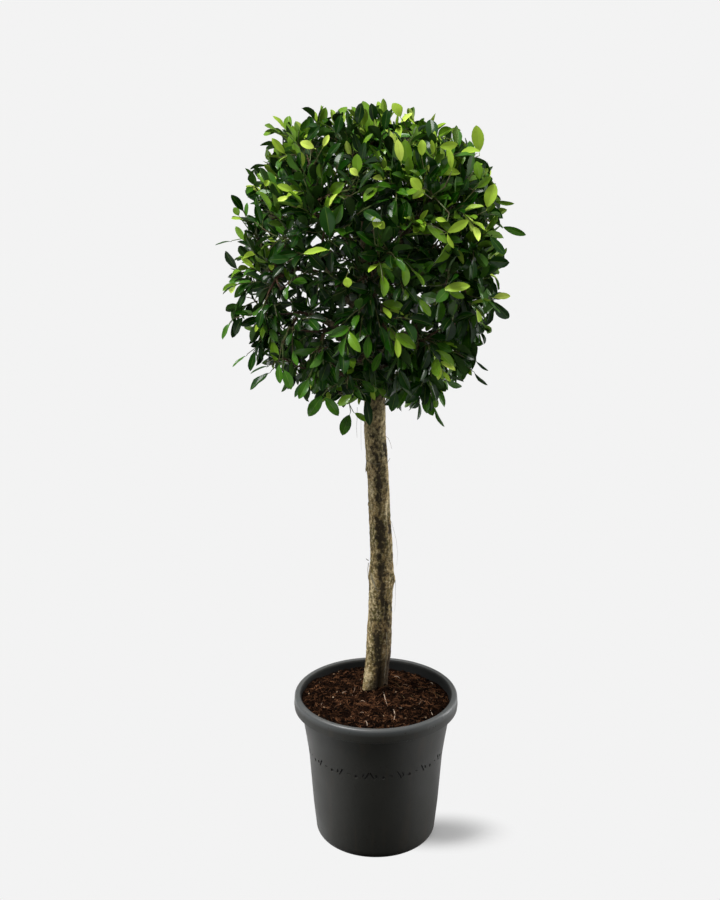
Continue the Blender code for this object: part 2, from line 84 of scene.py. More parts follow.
def deselect_all():
    if bpy.context.mode != "OBJECT":
        bpy.ops.object.mode_set(mode="OBJECT")
    bpy.ops.object.select_all(action="DESELECT")


def edit_new_primitive():
    """Starts editing the primitive that was just added, with edges as what is picked."""
    bpy.ops.object.mode_set(mode="EDIT")
    bpy.ops.mesh.select_mode(type="EDGE")
    bpy.ops.mesh.select_all(action="SELECT")


def finish_edit():
    """Points all faces outwards and leaves edit mode."""
    bpy.ops.mesh.select_all(action="SELECT")
    bpy.ops.mesh.normals_make_consistent(inside=False)
    bpy.ops.object.mode_set(mode="OBJECT")


def apply_modifiers(obj):
    bpy.context.view_layer.objects.active = obj
    for modifier in list(obj.modifiers):
        bpy.ops.object.modifier_apply(modifier=modifier.name)


def shade(obj, sharp_angle):
    """Smooth shading that keeps edges sharper than an angle."""
    deselect_all()
    obj.select_set(True)
    bpy.context.view_layer.objects.active = obj
    bpy.ops.object.shade_smooth_by_angle(angle=radians(sharp_angle))


def finish_piece(obj, name, materials, stands_for=()):
    """Names a piece, gives it its materials and ties it to the frame's one body."""
    obj.name = name
    obj.data.name = name
    for material in materials:
        obj.data.materials.append(material)
    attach(obj, "root")
    if stands_for:
        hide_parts(*stands_for)
    obj.data.calc_loop_triangles()
    print(f"{name}: {len(obj.data.loop_triangles)} triangles")
    return obj


# %% [markdown]
# ## Joined meshes from arrays
#
# Leaves, twigs and crumbs come in thousands. Thousands of objects would be slow, and linked copies get lost
# when a model is exported, so each kind is gathered as arrays of points and faces and becomes one mesh.

# %% A heap that gathers shapes into one mesh
class Heap:
    """Points and faces of many small closed shapes that end up as one mesh."""

    def __init__(self):
        self.points = []
        self.faces = []
        self.kinds = []
        self.count = 0

    def add(self, points, faces, kinds=None):
        self.points.append(np.asarray(points, float))
        self.faces += [tuple(self.count + corner for corner in face) for face in faces]
        self.kinds += list(kinds) if kinds is not None else [0] * len(faces)
        self.count += len(points)

    def make(self):
        mesh = bpy.data.meshes.new("heap")
        mesh.from_pydata(np.concatenate(self.points), [], self.faces)
        mesh.polygons.foreach_set("material_index", self.kinds)
        mesh.update()
        obj = bpy.data.objects.new("heap", mesh)
        bpy.context.scene.collection.objects.link(obj)
        return obj


def tube(path, radii, sides, turn=0.0):
    """Points and faces of a closed tube along a path of Vectors, which may taper."""
    points = []
    faces = []
    across = None
    for i, place in enumerate(path):
        along = path[min(i + 1, len(path) - 1)] - path[max(i - 1, 0)]
        along.normalize()
        if across is None:
            across = along.orthogonal()
        across = (across - along * across.dot(along)).normalized()
        other = along.cross(across)
        for s in range(sides):
            angle = turn + 2 * pi * s / sides
            points.append(place + (across * cos(angle) + other * sin(angle)) * radii[i])
        if i:
            first = (i - 1) * sides
            for s in range(sides):
                following = (s + 1) % sides
                faces.append((first + s, first + following, first + sides + following, first + sides + s))
    faces.append(tuple(reversed(range(sides))))
    faces.append(tuple(range(len(points) - sides, len(points))))
    return points, faces


# %% [markdown]
# ## Shader helpers
#
# Every surface here is procedural. A number or colour that is the same all over goes on the shader's own
# socket. What changes over a surface is built from three effects that several materials share, so each is a
# node group: blotches (soft patches), grain (fine bumps), and dust (a film on what faces up).

# %% Helpers for nodes
def set_socket(tree, socket, value):
    """Links an output to a socket, or sets the socket to a plain value."""
    if isinstance(value, bpy.types.NodeSocket):
        tree.links.new(value, socket)
    else:
        socket.default_value = value


def add_node(tree, kind, settings=(), **inputs):
    """Adds a shader node by the end of its type's name, then sets or links its inputs by name."""
    node = tree.nodes.new("ShaderNode" + kind)
    for key, value in dict(settings).items():
        setattr(node, key, value)
    for key, value in inputs.items():
        set_socket(tree, node.inputs[key.replace("_", " ")], value)
    return node


def math_node(tree, operation, first, second=0.0, clamp=False):
    node = add_node(tree, "Math")
    node.operation = operation
    node.use_clamp = clamp
    set_socket(tree, node.inputs[0], first)
    set_socket(tree, node.inputs[1], second)
    return node.outputs[0]


def times(tree, first, second):
    return math_node(tree, "MULTIPLY", first, second)


def mix_colours(tree, share, first, second):
    node = add_node(tree, "Mix")
    node.data_type = "RGBA"
    set_socket(tree, node.inputs[0], share)
    for socket, value in ((node.inputs[6], first), (node.inputs[7], second)):
        set_socket(tree, socket, (*value, 1.0) if isinstance(value, tuple) else value)
    return node.outputs[2]


def layered(tree, colour, layers):
    """Lays tones on a colour in turn. Each layer is (mask, the most that it covers, tone)."""
    for mask, most, tone in layers:
        colour = mix_colours(tree, times(tree, mask, most), colour, tone)
    return colour


def spread(tree, value, low, high, to_low=0.0, to_high=1.0, settings=()):
    """Carries a value from one range to another, held at both ends."""
    ends = {"From_Min": low, "From_Max": high, "To_Min": to_low, "To_Max": to_high}
    return add_node(tree, "MapRange", settings, Value=value, **ends).outputs["Result"]


def length_of(tree, vector):
    node = add_node(tree, "VectorMath", {"operation": "LENGTH"})
    tree.links.new(vector, node.inputs[0])
    return node.outputs["Value"]


def object_place(tree, stretch=(1.0, 1.0, 1.0)):
    """Object coordinates, drawn out along an axis where its stretch is under one."""
    place = add_node(tree, "TexCoord").outputs["Object"]
    if stretch == (1.0, 1.0, 1.0):
        return place
    return add_node(tree, "Mapping", Vector=place, Scale=stretch).outputs["Vector"]


def new_material(name, **values):
    """A material with its shader's plain values, its node tree, its shader and Object coordinates."""
    material = bpy.data.materials.new(name)
    material.use_nodes = True
    shader = material.node_tree.nodes["Principled BSDF"]
    for key, value in values.items():
        shader.inputs[key.replace("_", " ")].default_value = value
    return material, material.node_tree, shader, object_place(material.node_tree)


# %% Node groups that the materials share
FACING_UP = (0.2, 1.0)
DUST_BREAKS = (0.35, 0.75)
FINER_SCALE = 3.1
FINER_SHARE = 0.5


def new_group(name, output, **values):
    """A node group that takes a Vector and plain values, and gives one value."""
    group = bpy.data.node_groups.new(name, "ShaderNodeTree")
    group.interface.new_socket(name="Vector", in_out="INPUT", socket_type="NodeSocketVector")
    for label, value in values.items():
        socket = group.interface.new_socket(name=label, in_out="INPUT", socket_type="NodeSocketFloat")
        socket.default_value = value
    group.interface.new_socket(name=output, in_out="OUTPUT", socket_type="NodeSocketFloat")
    return group, group.nodes.new("NodeGroupInput").outputs, group.nodes.new("NodeGroupOutput").inputs


def blotches_group():
    """Soft patches: a noise held between two limits, so that the rest stays clean."""
    group, given, result = new_group("Blotches", "Mask", Scale=20.0, Low=0.45, High=0.6)
    cloud = add_node(group, "TexNoise", Vector=given["Vector"], Scale=given["Scale"], Detail=4.0)
    group.links.new(spread(group, cloud.outputs["Fac"], given["Low"], given["High"]), result["Mask"])
    return group


def dust_group():
    """A film on what faces up, broken by a noise."""
    group, given, result = new_group("Dust", "Mask", Scale=40.0, Amount=0.5)
    normal = add_node(group, "NewGeometry").outputs["Normal"]
    height = add_node(group, "SeparateXYZ", Vector=normal).outputs["Z"]
    facing_up = spread(group, height, *FACING_UP)
    cloud = add_node(group, "TexNoise", Vector=given["Vector"], Scale=given["Scale"], Detail=5.0)
    film = times(group, facing_up, spread(group, cloud.outputs["Fac"], *DUST_BREAKS))
    group.links.new(times(group, film, given["Amount"]), result["Mask"])
    return group


def grain_group():
    """Fine bumps of two sizes."""
    group, given, result = new_group("Grain", "Height", Scale=300.0)
    coarse = add_node(group, "TexNoise", Vector=given["Vector"], Scale=given["Scale"], Detail=2.0)
    finer = times(group, given["Scale"], FINER_SCALE)
    fine = add_node(group, "TexNoise", Vector=given["Vector"], Scale=finer, Detail=2.0)
    weaker = times(group, fine.outputs["Fac"], FINER_SHARE)
    group.links.new(math_node(group, "ADD", coarse.outputs["Fac"], weaker), result["Height"])
    return group


BLOTCHES = blotches_group()
DUST = dust_group()
GRAIN = grain_group()


def use_group(tree, group, **inputs):
    return add_node(tree, "Group", {"node_tree": group}, **inputs).outputs[0]


def blotches(tree, place, scale, low, high):
    return use_group(tree, BLOTCHES, Vector=place, Scale=scale, Low=low, High=high)


def add_bump(tree, shader, height, strength, distance):
    bump = add_node(tree, "Bump", Height=height, Strength=strength, Distance=distance)
    tree.links.new(bump.outputs["Normal"], shader.inputs["Normal"])


def add_grain(tree, shader, place, scale, strength, distance):
    add_bump(tree, shader, use_group(tree, GRAIN, Vector=place, Scale=scale), strength, distance)


print("node groups:", [group.name for group in (BLOTCHES, DUST, GRAIN)])

# %% [markdown]
# ## The pot
#
# A nursery pot is blow-moulded in thin recycled plastic: one wall that tapers to a rounded foot, a thick
# rolled rim that hands can grip, and holes underneath that let water out. It could be a Screw modifier on a
# profile. Here it is thrown as a potter would, because each ring can then be read as a step: a circle of
# edges is extruded to the next height and scaled to the next radius, under the foot, up the wall, over the
# rim and down inside to the floor.

# %% Sizes of the pot, taken from its solid
POT_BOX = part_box("pot")
POT_HEIGHT = POT_BOX[1].z
RIM_RADIUS = 0.1692
BASE_RADIUS = 0.1252
WALL_SLOPE = 0.0734
BASE_FILLET = 0.023
WALL = 0.003
FLOOR = 0.004
ROLL_RADIUS = 0.007
ROLL_CENTRE_RADIUS = 0.1612
SKIRT_FOOT = 0.296
SKIRT_BULGE_HEIGHT = 0.303
SKIRT_FOOT_RADIUS = 0.1685
FLARE = 0.0085
FLARE_FOOT = 0.19
FLARE_POWER = 1.2
FLARE_STEPS = 6
POT_SIDES = 128
FOOT_STEPS = 10
LIP_STEPS = 6
ROLL_STEPS = 14
CORNER_STEPS = 6
WALL_STOPS = (0.33, 0.67)
CENTRE_RADIUS = 0.004
print("pot height:", round(POT_HEIGHT, 3), "rim radius in the solid:", round(POT_BOX[1].x, 3))


# %% The pot's profile
def arc(centre, radius, first, last, steps):
    """Points (distance from the axis, height) along an arc, angles in degrees."""
    points = []
    for i in range(steps + 1):
        angle = radians(first + (last - first) * i / steps)
        points.append((centre[0] + radius * cos(angle), centre[1] + radius * sin(angle)))
    return points


def wall_radius(height):
    """Outer radius of the pot's wall at a height: a taper that flares out under the rim."""
    share = max(0.0, (height - FLARE_FOOT) / (SKIRT_FOOT - FLARE_FOOT))
    return BASE_RADIUS + WALL_SLOPE * height + FLARE * share**FLARE_POWER


def flare_line(depth):
    """Points up the flared stretch of the wall, a depth inside its outer face."""
    points = []
    for i in range(FLARE_STEPS + 1):
        height = FLARE_FOOT + (SKIRT_FOOT - FLARE_FOOT) * i / FLARE_STEPS
        points.append((wall_radius(height) - depth, height))
    return points


def pot_profile():
    """From the middle of the underside, up the outside, over the rim and down to the floor's middle."""
    roll = (ROLL_CENTRE_RADIUS, POT_HEIGHT - ROLL_RADIUS)
    inner_fillet = BASE_FILLET - WALL
    points = [(CENTRE_RADIUS, 0.0)]
    points += arc((wall_radius(0) - BASE_FILLET, BASE_FILLET), BASE_FILLET, -90, 0, FOOT_STEPS)
    for share in WALL_STOPS:
        height = BASE_FILLET + (FLARE_FOOT - BASE_FILLET) * share
        points.append((wall_radius(height), height))
    points += flare_line(0.0)
    points += arc(roll, ROLL_RADIUS - WALL, 180, 0, LIP_STEPS)
    points.append((SKIRT_FOOT_RADIUS - WALL, SKIRT_FOOT))
    points.append((SKIRT_FOOT_RADIUS - WALL / 2, SKIRT_FOOT - WALL / 3))
    points.append((SKIRT_FOOT_RADIUS, SKIRT_FOOT))
    points.append((RIM_RADIUS, SKIRT_BULGE_HEIGHT))
    points += arc(roll, ROLL_RADIUS, 0, 180, ROLL_STEPS)
    points += reversed(flare_line(WALL))
    inner_corner = (wall_radius(FLOOR) - BASE_FILLET, FLOOR + inner_fillet)
    points += arc(inner_corner, inner_fillet, 0, -90, CORNER_STEPS)
    points.append((CENTRE_RADIUS, FLOOR))
    return points


# %% Throw the pot, ring by ring
def throw(profile, sides):
    """Draws a circle of edges out along a profile of (radius, height), then closes both ends."""
    deselect_all()
    radius, height = profile[0]
    bpy.ops.mesh.primitive_circle_add(vertices=sides, radius=radius, location=(0, 0, height))
    obj = bpy.context.object
    bpy.ops.object.transform_apply()
    edit_new_primitive()
    bpy.ops.mesh.edge_face_add()
    bpy.ops.mesh.select_mode(type="EDGE")
    for next_radius, next_height in profile[1:]:
        bpy.ops.mesh.extrude_edges_move(TRANSFORM_OT_translate={"value": (0, 0, next_height - height)})
        share = next_radius / radius
        bpy.ops.transform.resize(value=(share, share, 1), center_override=(0, 0, next_height))
        radius, height = next_radius, next_height
    bpy.ops.mesh.edge_face_add()
    bpy.ops.mesh.select_all(action="SELECT")
    bpy.ops.mesh.remove_doubles(threshold=MERGE_DISTANCE)
    finish_edit()
    return obj


pot = throw(pot_profile(), POT_SIDES)
print("pot thrown:", len(pot.data.polygons), "faces")

# %% [markdown]
# Two things are cut into the pot. Under it are the drain holes. Round its middle the mould has left a ring
# of small dents, a dot, two slanted ticks and a dash, over and over, mirrored about the mould's seam, and a
# few lone dots sit on the rim and near the foot. Each cutter is modelled once, in place, and copied round
# the axis, and its copies are joined so that one Boolean cuts them all.

# %% Cut the drain holes and the moulded dents
DRAIN_HOLES = 8
DRAIN_RADIUS = 0.007
DRAIN_RING = 0.078
DENT_PAIRS = 8
DENT_HEIGHT = 0.203
DOT_RADIUS = 0.0037
# A dot's shape, as shares of its radius: into the wall, round the wall, upwards
DOT_SHAPE = (0.62, 1.0, 1.15)
DOT_SEGMENTS = 12
DOT_RINGS = 8
DRAIN_SIDES = 24
# Small dots that stand alone: (height, radius of the dot, places round the pot in degrees)
LONE_DOTS = (
    (0.309, 0.0017, (-46.0, -48.4, -52.0)),
    (0.046, 0.0015, (-47.5, -43.8)),
    (0.034, 0.0014, (-91.0, -86.2)),
)
BAR_RISE = 0.0035
BAR_OVERLAP = 4
BAR_ROUNDING = 3
SEAM = radians(-95.6)
# Bars: (turn from the dot, away from the seam, length, width, lean from upright, depth)
BARS = (
    (radians(-9.0), 0.019, 0.0036, radians(28), 0.0023),
    (radians(-5.8), 0.009, 0.0038, radians(20), 0.0022),
    (radians(6.6), 0.007, 0.0024, radians(80), 0.0014),
)


def place_copies(obj, angles):
    """Copies an object round the Z axis, joins the copies and returns the one object."""
    copies = []
    for angle in angles:
        copy = obj.copy()
        copy.data = obj.data.copy()
        copy.data.transform(Matrix.Rotation(angle, 4, "Z"))
        bpy.context.scene.collection.objects.link(copy)
        copies.append(copy)
    bpy.data.objects.remove(obj, do_unlink=True)
    deselect_all()
    for copy in copies:
        copy.select_set(True)
    bpy.context.view_layer.objects.active = copies[0]
    bpy.ops.object.join()
    return bpy.context.object


def drain_cutter():
    deselect_all()
    bpy.ops.mesh.primitive_cylinder_add(
        vertices=DRAIN_SIDES, radius=DRAIN_RADIUS, depth=4 * FLOOR, location=(DRAIN_RING, 0, 0)
    )
    bpy.ops.object.transform_apply()
    return place_copies(bpy.context.object, [2 * pi * (i + 0.5) / DRAIN_HOLES for i in range(DRAIN_HOLES)])


def dent_angles(side, turn):
    """Where a dent lies on one side of the seam (1 or -1), at a turn from each dot."""
    step = pi / DENT_PAIRS
    return [SEAM + side * ((i + 0.5) * step + turn) for i in range(DENT_PAIRS)]


def dot_cutter(height, radius, angles):
    """Flattened balls, sunk into the wall or the rim at a height."""
    deselect_all()
    face = RIM_RADIUS if height > SKIRT_FOOT else wall_radius(height)
    bpy.ops.mesh.primitive_uv_sphere_add(
        segments=DOT_SEGMENTS, ring_count=DOT_RINGS, radius=radius, location=(face, 0, height)
    )
    cutter = bpy.context.object
    cutter.scale = DOT_SHAPE
    bpy.ops.object.transform_apply()
    return place_copies(cutter, angles)


def bar_cutter(side, turn, length, width, lean, depth):
    """A slanted bar with its ends rounded off, sunk into the wall by its depth."""
    deselect_all()
    height = DENT_HEIGHT + BAR_RISE
    radius = wall_radius(height) + depth
    bpy.ops.mesh.primitive_cube_add(size=1, location=(radius, 0, height), rotation=(side * lean, 0, 0))
    cutter = bpy.context.object
    cutter.scale = (BAR_OVERLAP * depth, width, length)
    bpy.ops.object.transform_apply()
    bevel = cutter.modifiers.new("Round", "BEVEL")
    bevel.width = width / BAR_ROUNDING
    bevel.segments = 2
    apply_modifiers(cutter)
    return place_copies(cutter, dent_angles(side, turn))


bars = [bar_cutter(side, *bar) for side in (1, -1) for bar in BARS]
dots = [dot_cutter(DENT_HEIGHT, DOT_RADIUS, dent_angles(1, 0.0) + dent_angles(-1, 0.0))]
for height, radius, places in LONE_DOTS:
    dots.append(dot_cutter(height, radius, [radians(place) for place in places]))
for cutter in (drain_cutter(), *dots, *bars):
    cut = pot.modifiers.new("Cut", "BOOLEAN")
    cut.operation = "DIFFERENCE"
    cut.solver = "EXACT"
    cut.object = cutter
    apply_modifiers(pot)
    bpy.data.objects.remove(cutter, do_unlink=True)
print("pot cut:", len(pot.data.polygons), "faces")

# %% [markdown]
# Recycled plastic is nearly black, a little green or brown in places, and matt, but the rim is rubbed to a
# satin by handling, and its top is painted lighter as a painted sheen. Fine upright scuffs come from
# stacking, potting mix leaves a dusty film on what faces up, and dirt and painted shade darken the dents. The
# inner wall is painted darker as painted shade. Each of these is a mask, and the tones are laid on in turn.

# %% Material of the pot
POT_DARK = (0.0236, 0.024, 0.0205)
POT_WORN = (0.0286, 0.0284, 0.0238)
POT_RIM_WEAR_AND_SHEEN = (0.072, 0.077, 0.077)
POT_WARM = (0.048, 0.036, 0.024)
POT_DUST = (0.12, 0.105, 0.085)
POT_MUD = (0.02, 0.014, 0.01)
POT_SHADE_AND_DIRT = (0.0072, 0.008, 0.0073)


# Patterns on the pot: (scale, low, high)
POT_WEAR = (9.0, 0.35, 0.7)
POT_SCUFFS = (160.0, 0.62, 0.72)
POT_WARMTH = (55.0, 0.55, 0.68)
POT_SPLASHES = (170.0, 0.66, 0.7)
POT_GRAIN = (420.0, 0.25, 0.0004)
UPRIGHT = (1.0, 1.0, 0.08)
# The rubbed rim with its painted sheen, and the inside with its painted shade, by height and by distance from
# the axis: (from, fully at)
RUBBED_AND_SHEEN = ((0.309, 0.3185), (0.156, 0.158))
INSIDE = ((0.296, 0.299), (0.159, 0.156))
DENT_DIRT_AND_SHADE_ABOVE = (0.18, 0.185)
DENT_DIRT_AND_SHADE_DEPTH = 0.001
POT_ROUGHNESS = (0.42, 0.56)
DUSTY_ROUGHER = 0.5
RUBBED_SMOOTHER = 0.12
INSIDE_ROUGHER = 0.3


def pot_material():
    material, tree, shader, place = new_material("pot_plastic", Specular_IOR_Level=0.4)
    upright = object_place(tree, UPRIGHT)
    worn = blotches(tree, place, *POT_WEAR)
    dust = use_group(tree, DUST, Vector=place, Scale=60.0, Amount=0.3)
    x, y, z = add_node(tree, "SeparateXYZ", Vector=place).outputs
    distance = length_of(tree, add_node(tree, "CombineXYZ", X=x, Y=y).outputs["Vector"])
    rubbed_and_sheen, inside = (
        times(tree, spread(tree, z, *heights), spread(tree, distance, *distances))
        for heights, distances in (RUBBED_AND_SHEEN, INSIDE)
    )
    # The dents lie inside the taper of the wall. Dirt and painted shade darken them.
    sunken = math_node(tree, "SUBTRACT", distance, times(tree, z, WALL_SLOPE))
    sunken = spread(tree, sunken, BASE_RADIUS, BASE_RADIUS - DENT_DIRT_AND_SHADE_DEPTH)
    layers = (
        (blotches(tree, upright, *POT_SCUFFS), 0.35, POT_WORN),
        (blotches(tree, upright, *POT_WARMTH), 0.3, POT_WARM),
        # The inner wall is darkened as painted shade.
        (inside, 1.0, POT_SHADE_AND_DIRT),
        (times(tree, sunken, spread(tree, z, *DENT_DIRT_AND_SHADE_ABOVE)), 1.0, POT_SHADE_AND_DIRT),
        # The rim's top is lighter: wear, and a painted sheen.
        (rubbed_and_sheen, 1.0, POT_RIM_WEAR_AND_SHEEN),
        (blotches(tree, place, *POT_SPLASHES), 0.8, POT_MUD),
        (dust, 1.0, POT_DUST),
    )
    colour = layered(tree, mix_colours(tree, worn, POT_DARK, POT_WORN), layers)
    tree.links.new(colour, shader.inputs["Base Color"])
    roughness = spread(tree, worn, 0.0, 1.0, *POT_ROUGHNESS)
    for operation, mask, change in (
        ("ADD", dust, DUSTY_ROUGHER),
        ("SUBTRACT", rubbed_and_sheen, RUBBED_SMOOTHER),
        ("ADD", inside, INSIDE_ROUGHER),
    ):
        roughness = math_node(tree, operation, roughness, times(tree, mask, change), clamp=True)
    tree.links.new(roughness, shader.inputs["Roughness"])
    add_grain(tree, shader, place, *POT_GRAIN)
    return material


shade(pot, sharp_angle=38)
finish_piece(pot, "pot_shell", [pot_material()], ["pot"])

# %% [markdown]
# ## The potting mix
#
# The mix is peat, coir fibre and bark chips, pressed against the wall and heaped a little towards the stem.
# One noisy surface would look like felt. So the mass is thrown like the pot, with a bumpy top, and the
# crumbs, chips and fibres that catch the light are real little shapes strewn over it.

# %% The mass of the mix
SOIL_EDGE_HEIGHT = 0.309
SOIL_CENTRE_HEIGHT = 0.322
SOIL_FLAT_RADIUS = 0.066
SOIL_EDGE = 0.153
SOIL_CORNER_STEPS = 5
MOUND_POWER = 1.2
SOIL_SLOPE = 0.0055
SOIL_LOW_SIDE = Vector((cos(radians(35)), sin(radians(35))))
# A little heap against the stem's foot, on its right
HEAP_PLACE = Vector((0.022, 0.006))
HEAP_WIDTH = 0.02
HEAP_RISE = 0.013
SOIL_SIDES = 144
SOIL_RINGS = 56
CLEARANCE = 0.0003
# Bumps of three sizes: (scale of the noise, height)
CRUMB_SIZES = ((34.0, 0.0045), (95.0, 0.0024), (240.0, 0.0011))


def mound(distance):
    """Height of the smooth mix at a distance from the axis."""
    share = min(1.0, max(0.0, (distance - SOIL_FLAT_RADIUS) / (SOIL_EDGE - SOIL_FLAT_RADIUS)))
    return SOIL_CENTRE_HEIGHT + (SOIL_EDGE_HEIGHT - SOIL_CENTRE_HEIGHT) * share**MOUND_POWER


def soil_height(x, y):
    """Height of the bumpy mix: the mound with lumps of three sizes."""
    distance = hypot(x, y)
    lower = SOIL_SLOPE * SOIL_LOW_SIDE.dot(Vector((x, y))) / SOIL_EDGE
    height = mound(distance) - lower * distance / SOIL_EDGE - CRUMB_SIZES[0][1] / 3
    near_foot = (Vector((x, y)) - HEAP_PLACE).length / HEAP_WIDTH
    height += HEAP_RISE * exp(-near_foot * near_foot)
    for scale, size in CRUMB_SIZES:
        height += size * noise.noise(Vector((x * scale, y * scale, scale)))
    return height


def soil_profile():
    corner = (wall_radius(FLOOR) - BASE_FILLET, FLOOR + BASE_FILLET - WALL)
    points = [(CENTRE_RADIUS, FLOOR + CLEARANCE)]
    points += arc(corner, BASE_FILLET - WALL - CLEARANCE, -90, 0, SOIL_CORNER_STEPS)
    points += flare_line(WALL + CLEARANCE)
    for i in range(SOIL_RINGS + 1):
        radius = SOIL_EDGE + (CENTRE_RADIUS - SOIL_EDGE) * i / SOIL_RINGS
        points.append((radius, mound(radius)))
    return points


soil = throw(soil_profile(), SOIL_SIDES)
for vert in soil.data.vertices:
    if vert.co.z > SKIRT_FOOT + CLEARANCE:
        vert.co.z = soil_height(vert.co.x, vert.co.y)
print("mix thrown:", len(soil.data.polygons), "faces")

# %% Crumbs, chips and fibres
SOIL_SEED = 7
# Lumps: (count, sizes, flatness). Threads: (count, lengths, radius, how high they arch)
CRUMBS = (2300, (0.0012, 0.0042), 0.6)
CHIPS = (105, (0.0012, 0.0036), 0.35)
FIBRES = (1500, (0.01, 0.034), 0.00045, 0.003)
STRAWS = (9, (0.01, 0.022), 0.0006, 0.004)
LUMP_LENGTHS = (0.6, 1.5)
LUMP_WIDTHS = (0.5, 1.0)
LUMP_ROUGHNESS = (0.75, 1.2)
LUMP_TILT = 0.5
LUMP_RISE = 0.4
THREAD_BEND = 1.2
THREAD_TAPER = (0.7, 1.0, 1.0, 0.9, 0.5)
THREAD_CLEAR = 0.6
BACK_FROM_WALL = 0.93
TRUNK_FOOT_CLEAR = 0.024
TRUNK_SETBACK = 0.03

# Single straws and long thin roots that lie on the mix in view: (kind, radius, places from above)
SOIL_LINES = (
    ("straw", 0.001, ((0.0155, -0.0091), (0.0193, -0.0336), (0.023, -0.0577))),
    ("straw", 0.0011, ((0.035, -0.0708), (0.0377, -0.088), (0.0352, -0.1092))),
    ("straw", 0.001, ((0.0424, -0.0534), (0.0484, -0.0621), (0.054, -0.063))),
    ("straw", 0.0008, ((0.088, -0.036), (0.094, -0.024), (0.1025, -0.0292))),
    ("straw", 0.001, ((0.1106, -0.0577), (0.1139, -0.0751))),
    ("straw", 0.0008, ((-0.0504, -0.0336), (-0.0433, -0.0181), (-0.0371, -0.0069))),
    ("straw", 0.0007, ((-0.0495, -0.0136), (-0.0454, 0.0044), (-0.0434, 0.0225))),
    ("root", 0.0009,
     ((0.0385, 0.0548), (0.0505, 0.0271), (0.0755, 0.0271), (0.1028, 0.0317), (0.1254, 0.0225))),
    ("root", 0.0007, ((0.1254, 0.0225), (0.137, 0.013), (0.1452, 0.0021))),
    ("root", 0.0007,
     ((0.0453, -0.0181), (0.0537, -0.0114), (0.0596, -0.0225), (0.0551, -0.038), (0.0468, -0.0402))),
    ("root", 0.0009, ((0.0106, 0.0112), (0.0209, 0.0066), (0.0335, 0.0134))),
    ("root", 0.0008, ((0.061, 0.0317), (0.0686, 0.0044), (0.0763, -0.0136))),
)


def crumb_template():
    """Corners and faces of one faceted lump."""
    deselect_all()
    bpy.ops.mesh.primitive_ico_sphere_add(subdivisions=1, radius=1.0)
    lump = bpy.context.object
    points = np.array([vert.co for vert in lump.data.vertices])
    faces = [tuple(face.vertices) for face in lump.data.polygons]
    bpy.data.objects.remove(lump, do_unlink=True)
    return points, faces


def place_on_soil(rng, margin):
    """A random point on the mix, clear of the stem and of the wall."""
    while True:
        distance = (SOIL_EDGE - margin) * sqrt(rng.random())
        angle = rng.uniform(0, 2 * pi)
        x, y = distance * cos(angle), distance * sin(angle)
        if hypot(x, y - TRUNK_SETBACK) > TRUNK_FOOT_CLEAR:
            return Vector((x, y, soil_height(x, y)))


def strew_lumps(rng, count, size_range, flatness):
    """Faceted lumps half sunk in the mix."""
    heap = Heap()
    points, faces = crumb_template()
    for _ in range(count):
        size = rng.uniform(*size_range)
        length, width = size * rng.uniform(*LUMP_LENGTHS), size * rng.uniform(*LUMP_WIDTHS)
        scale = np.array([length, width, size * flatness])
        rough = points * scale * np.array([[rng.uniform(*LUMP_ROUGHNESS)] for _ in points])
        turn = Matrix.Rotation(rng.uniform(0, 2 * pi), 3, "Z")
        for axis in "XY":
            turn = turn @ Matrix.Rotation(rng.gauss(0, LUMP_TILT), 3, axis)
        spot = place_on_soil(rng, 0.002 + size) + UP * (size * flatness * LUMP_RISE)
        heap.add(rough @ np.array(turn).T + np.array(spot), faces)
    return heap


def strew_fibres(rng, count, length_range, radius, lift):
    """Thin bent fibres that lie on the mix, their ends tucked in."""
    heap = Heap()
    steps = len(THREAD_TAPER) - 1
    for _ in range(count):
        length = rng.uniform(*length_range)
        spot = place_on_soil(rng, length * THREAD_CLEAR)
        heading = rng.uniform(0, 2 * pi)
        bend = rng.uniform(-THREAD_BEND, THREAD_BEND)
        path = []
        for i in range(steps + 1):
            height = soil_height(spot.x, spot.y) + lift * sin(pi * i / steps) - radius
            path.append(Vector((spot.x, spot.y, height)))
            direction = heading + bend * i / steps
            spot = spot + Vector((cos(direction), sin(direction), 0)) * (length / steps)
            if hypot(spot.x, spot.y) > SOIL_EDGE - 2 * radius:
                spot = Vector((spot.x, spot.y, 0)) * BACK_FROM_WALL
        heap.add(*tube(path, [radius * share for share in THREAD_TAPER], 3))
    return heap


soil_rng = random.Random(SOIL_SEED)
crumbs = strew_lumps(soil_rng, *CRUMBS).make()
chips = strew_lumps(soil_rng, *CHIPS).make()
fibres = strew_fibres(soil_rng, *FIBRES).make()
straw_heap = strew_fibres(soil_rng, *STRAWS)
root_heap = Heap()
for kind, radius, line in SOIL_LINES:
    path = [Vector((x, y, soil_height(x, y) + radius)) for x, y in line]
    taper = [radius * share for share in np.linspace(1.0, 0.6, len(path))]
    (straw_heap if kind == "straw" else root_heap).add(*tube(path, taper, 4))
straws = straw_heap.make()
roots = root_heap.make()

# %% Materials of the mix
SOIL_BLACK = (0.0016, 0.0009, 0.0006)
SOIL_BROWN = (0.016, 0.0068, 0.0035)
FIBRE_DARK = (0.02, 0.008, 0.004)
FIBRE_RED = (0.175, 0.078, 0.037)
ROOT_DARK = (0.075, 0.048, 0.022)
ROOT_TAN = (0.19, 0.135, 0.065)
CHIP_DARK = (0.1, 0.048, 0.024)
CHIP_PALE = (0.44, 0.31, 0.2)
STRAW_DARK = (0.3, 0.2, 0.14)
STRAW_PALE = (0.56, 0.44, 0.33)
EARTHY_LIMITS = (0.4, 0.62)
DARK_PATCHES = (26.0, 0.48, 0.62)
DARK_PATCH_SHARE = 0.48
EARTHY_GRAIN = (700.0, 0.6, 0.0006)


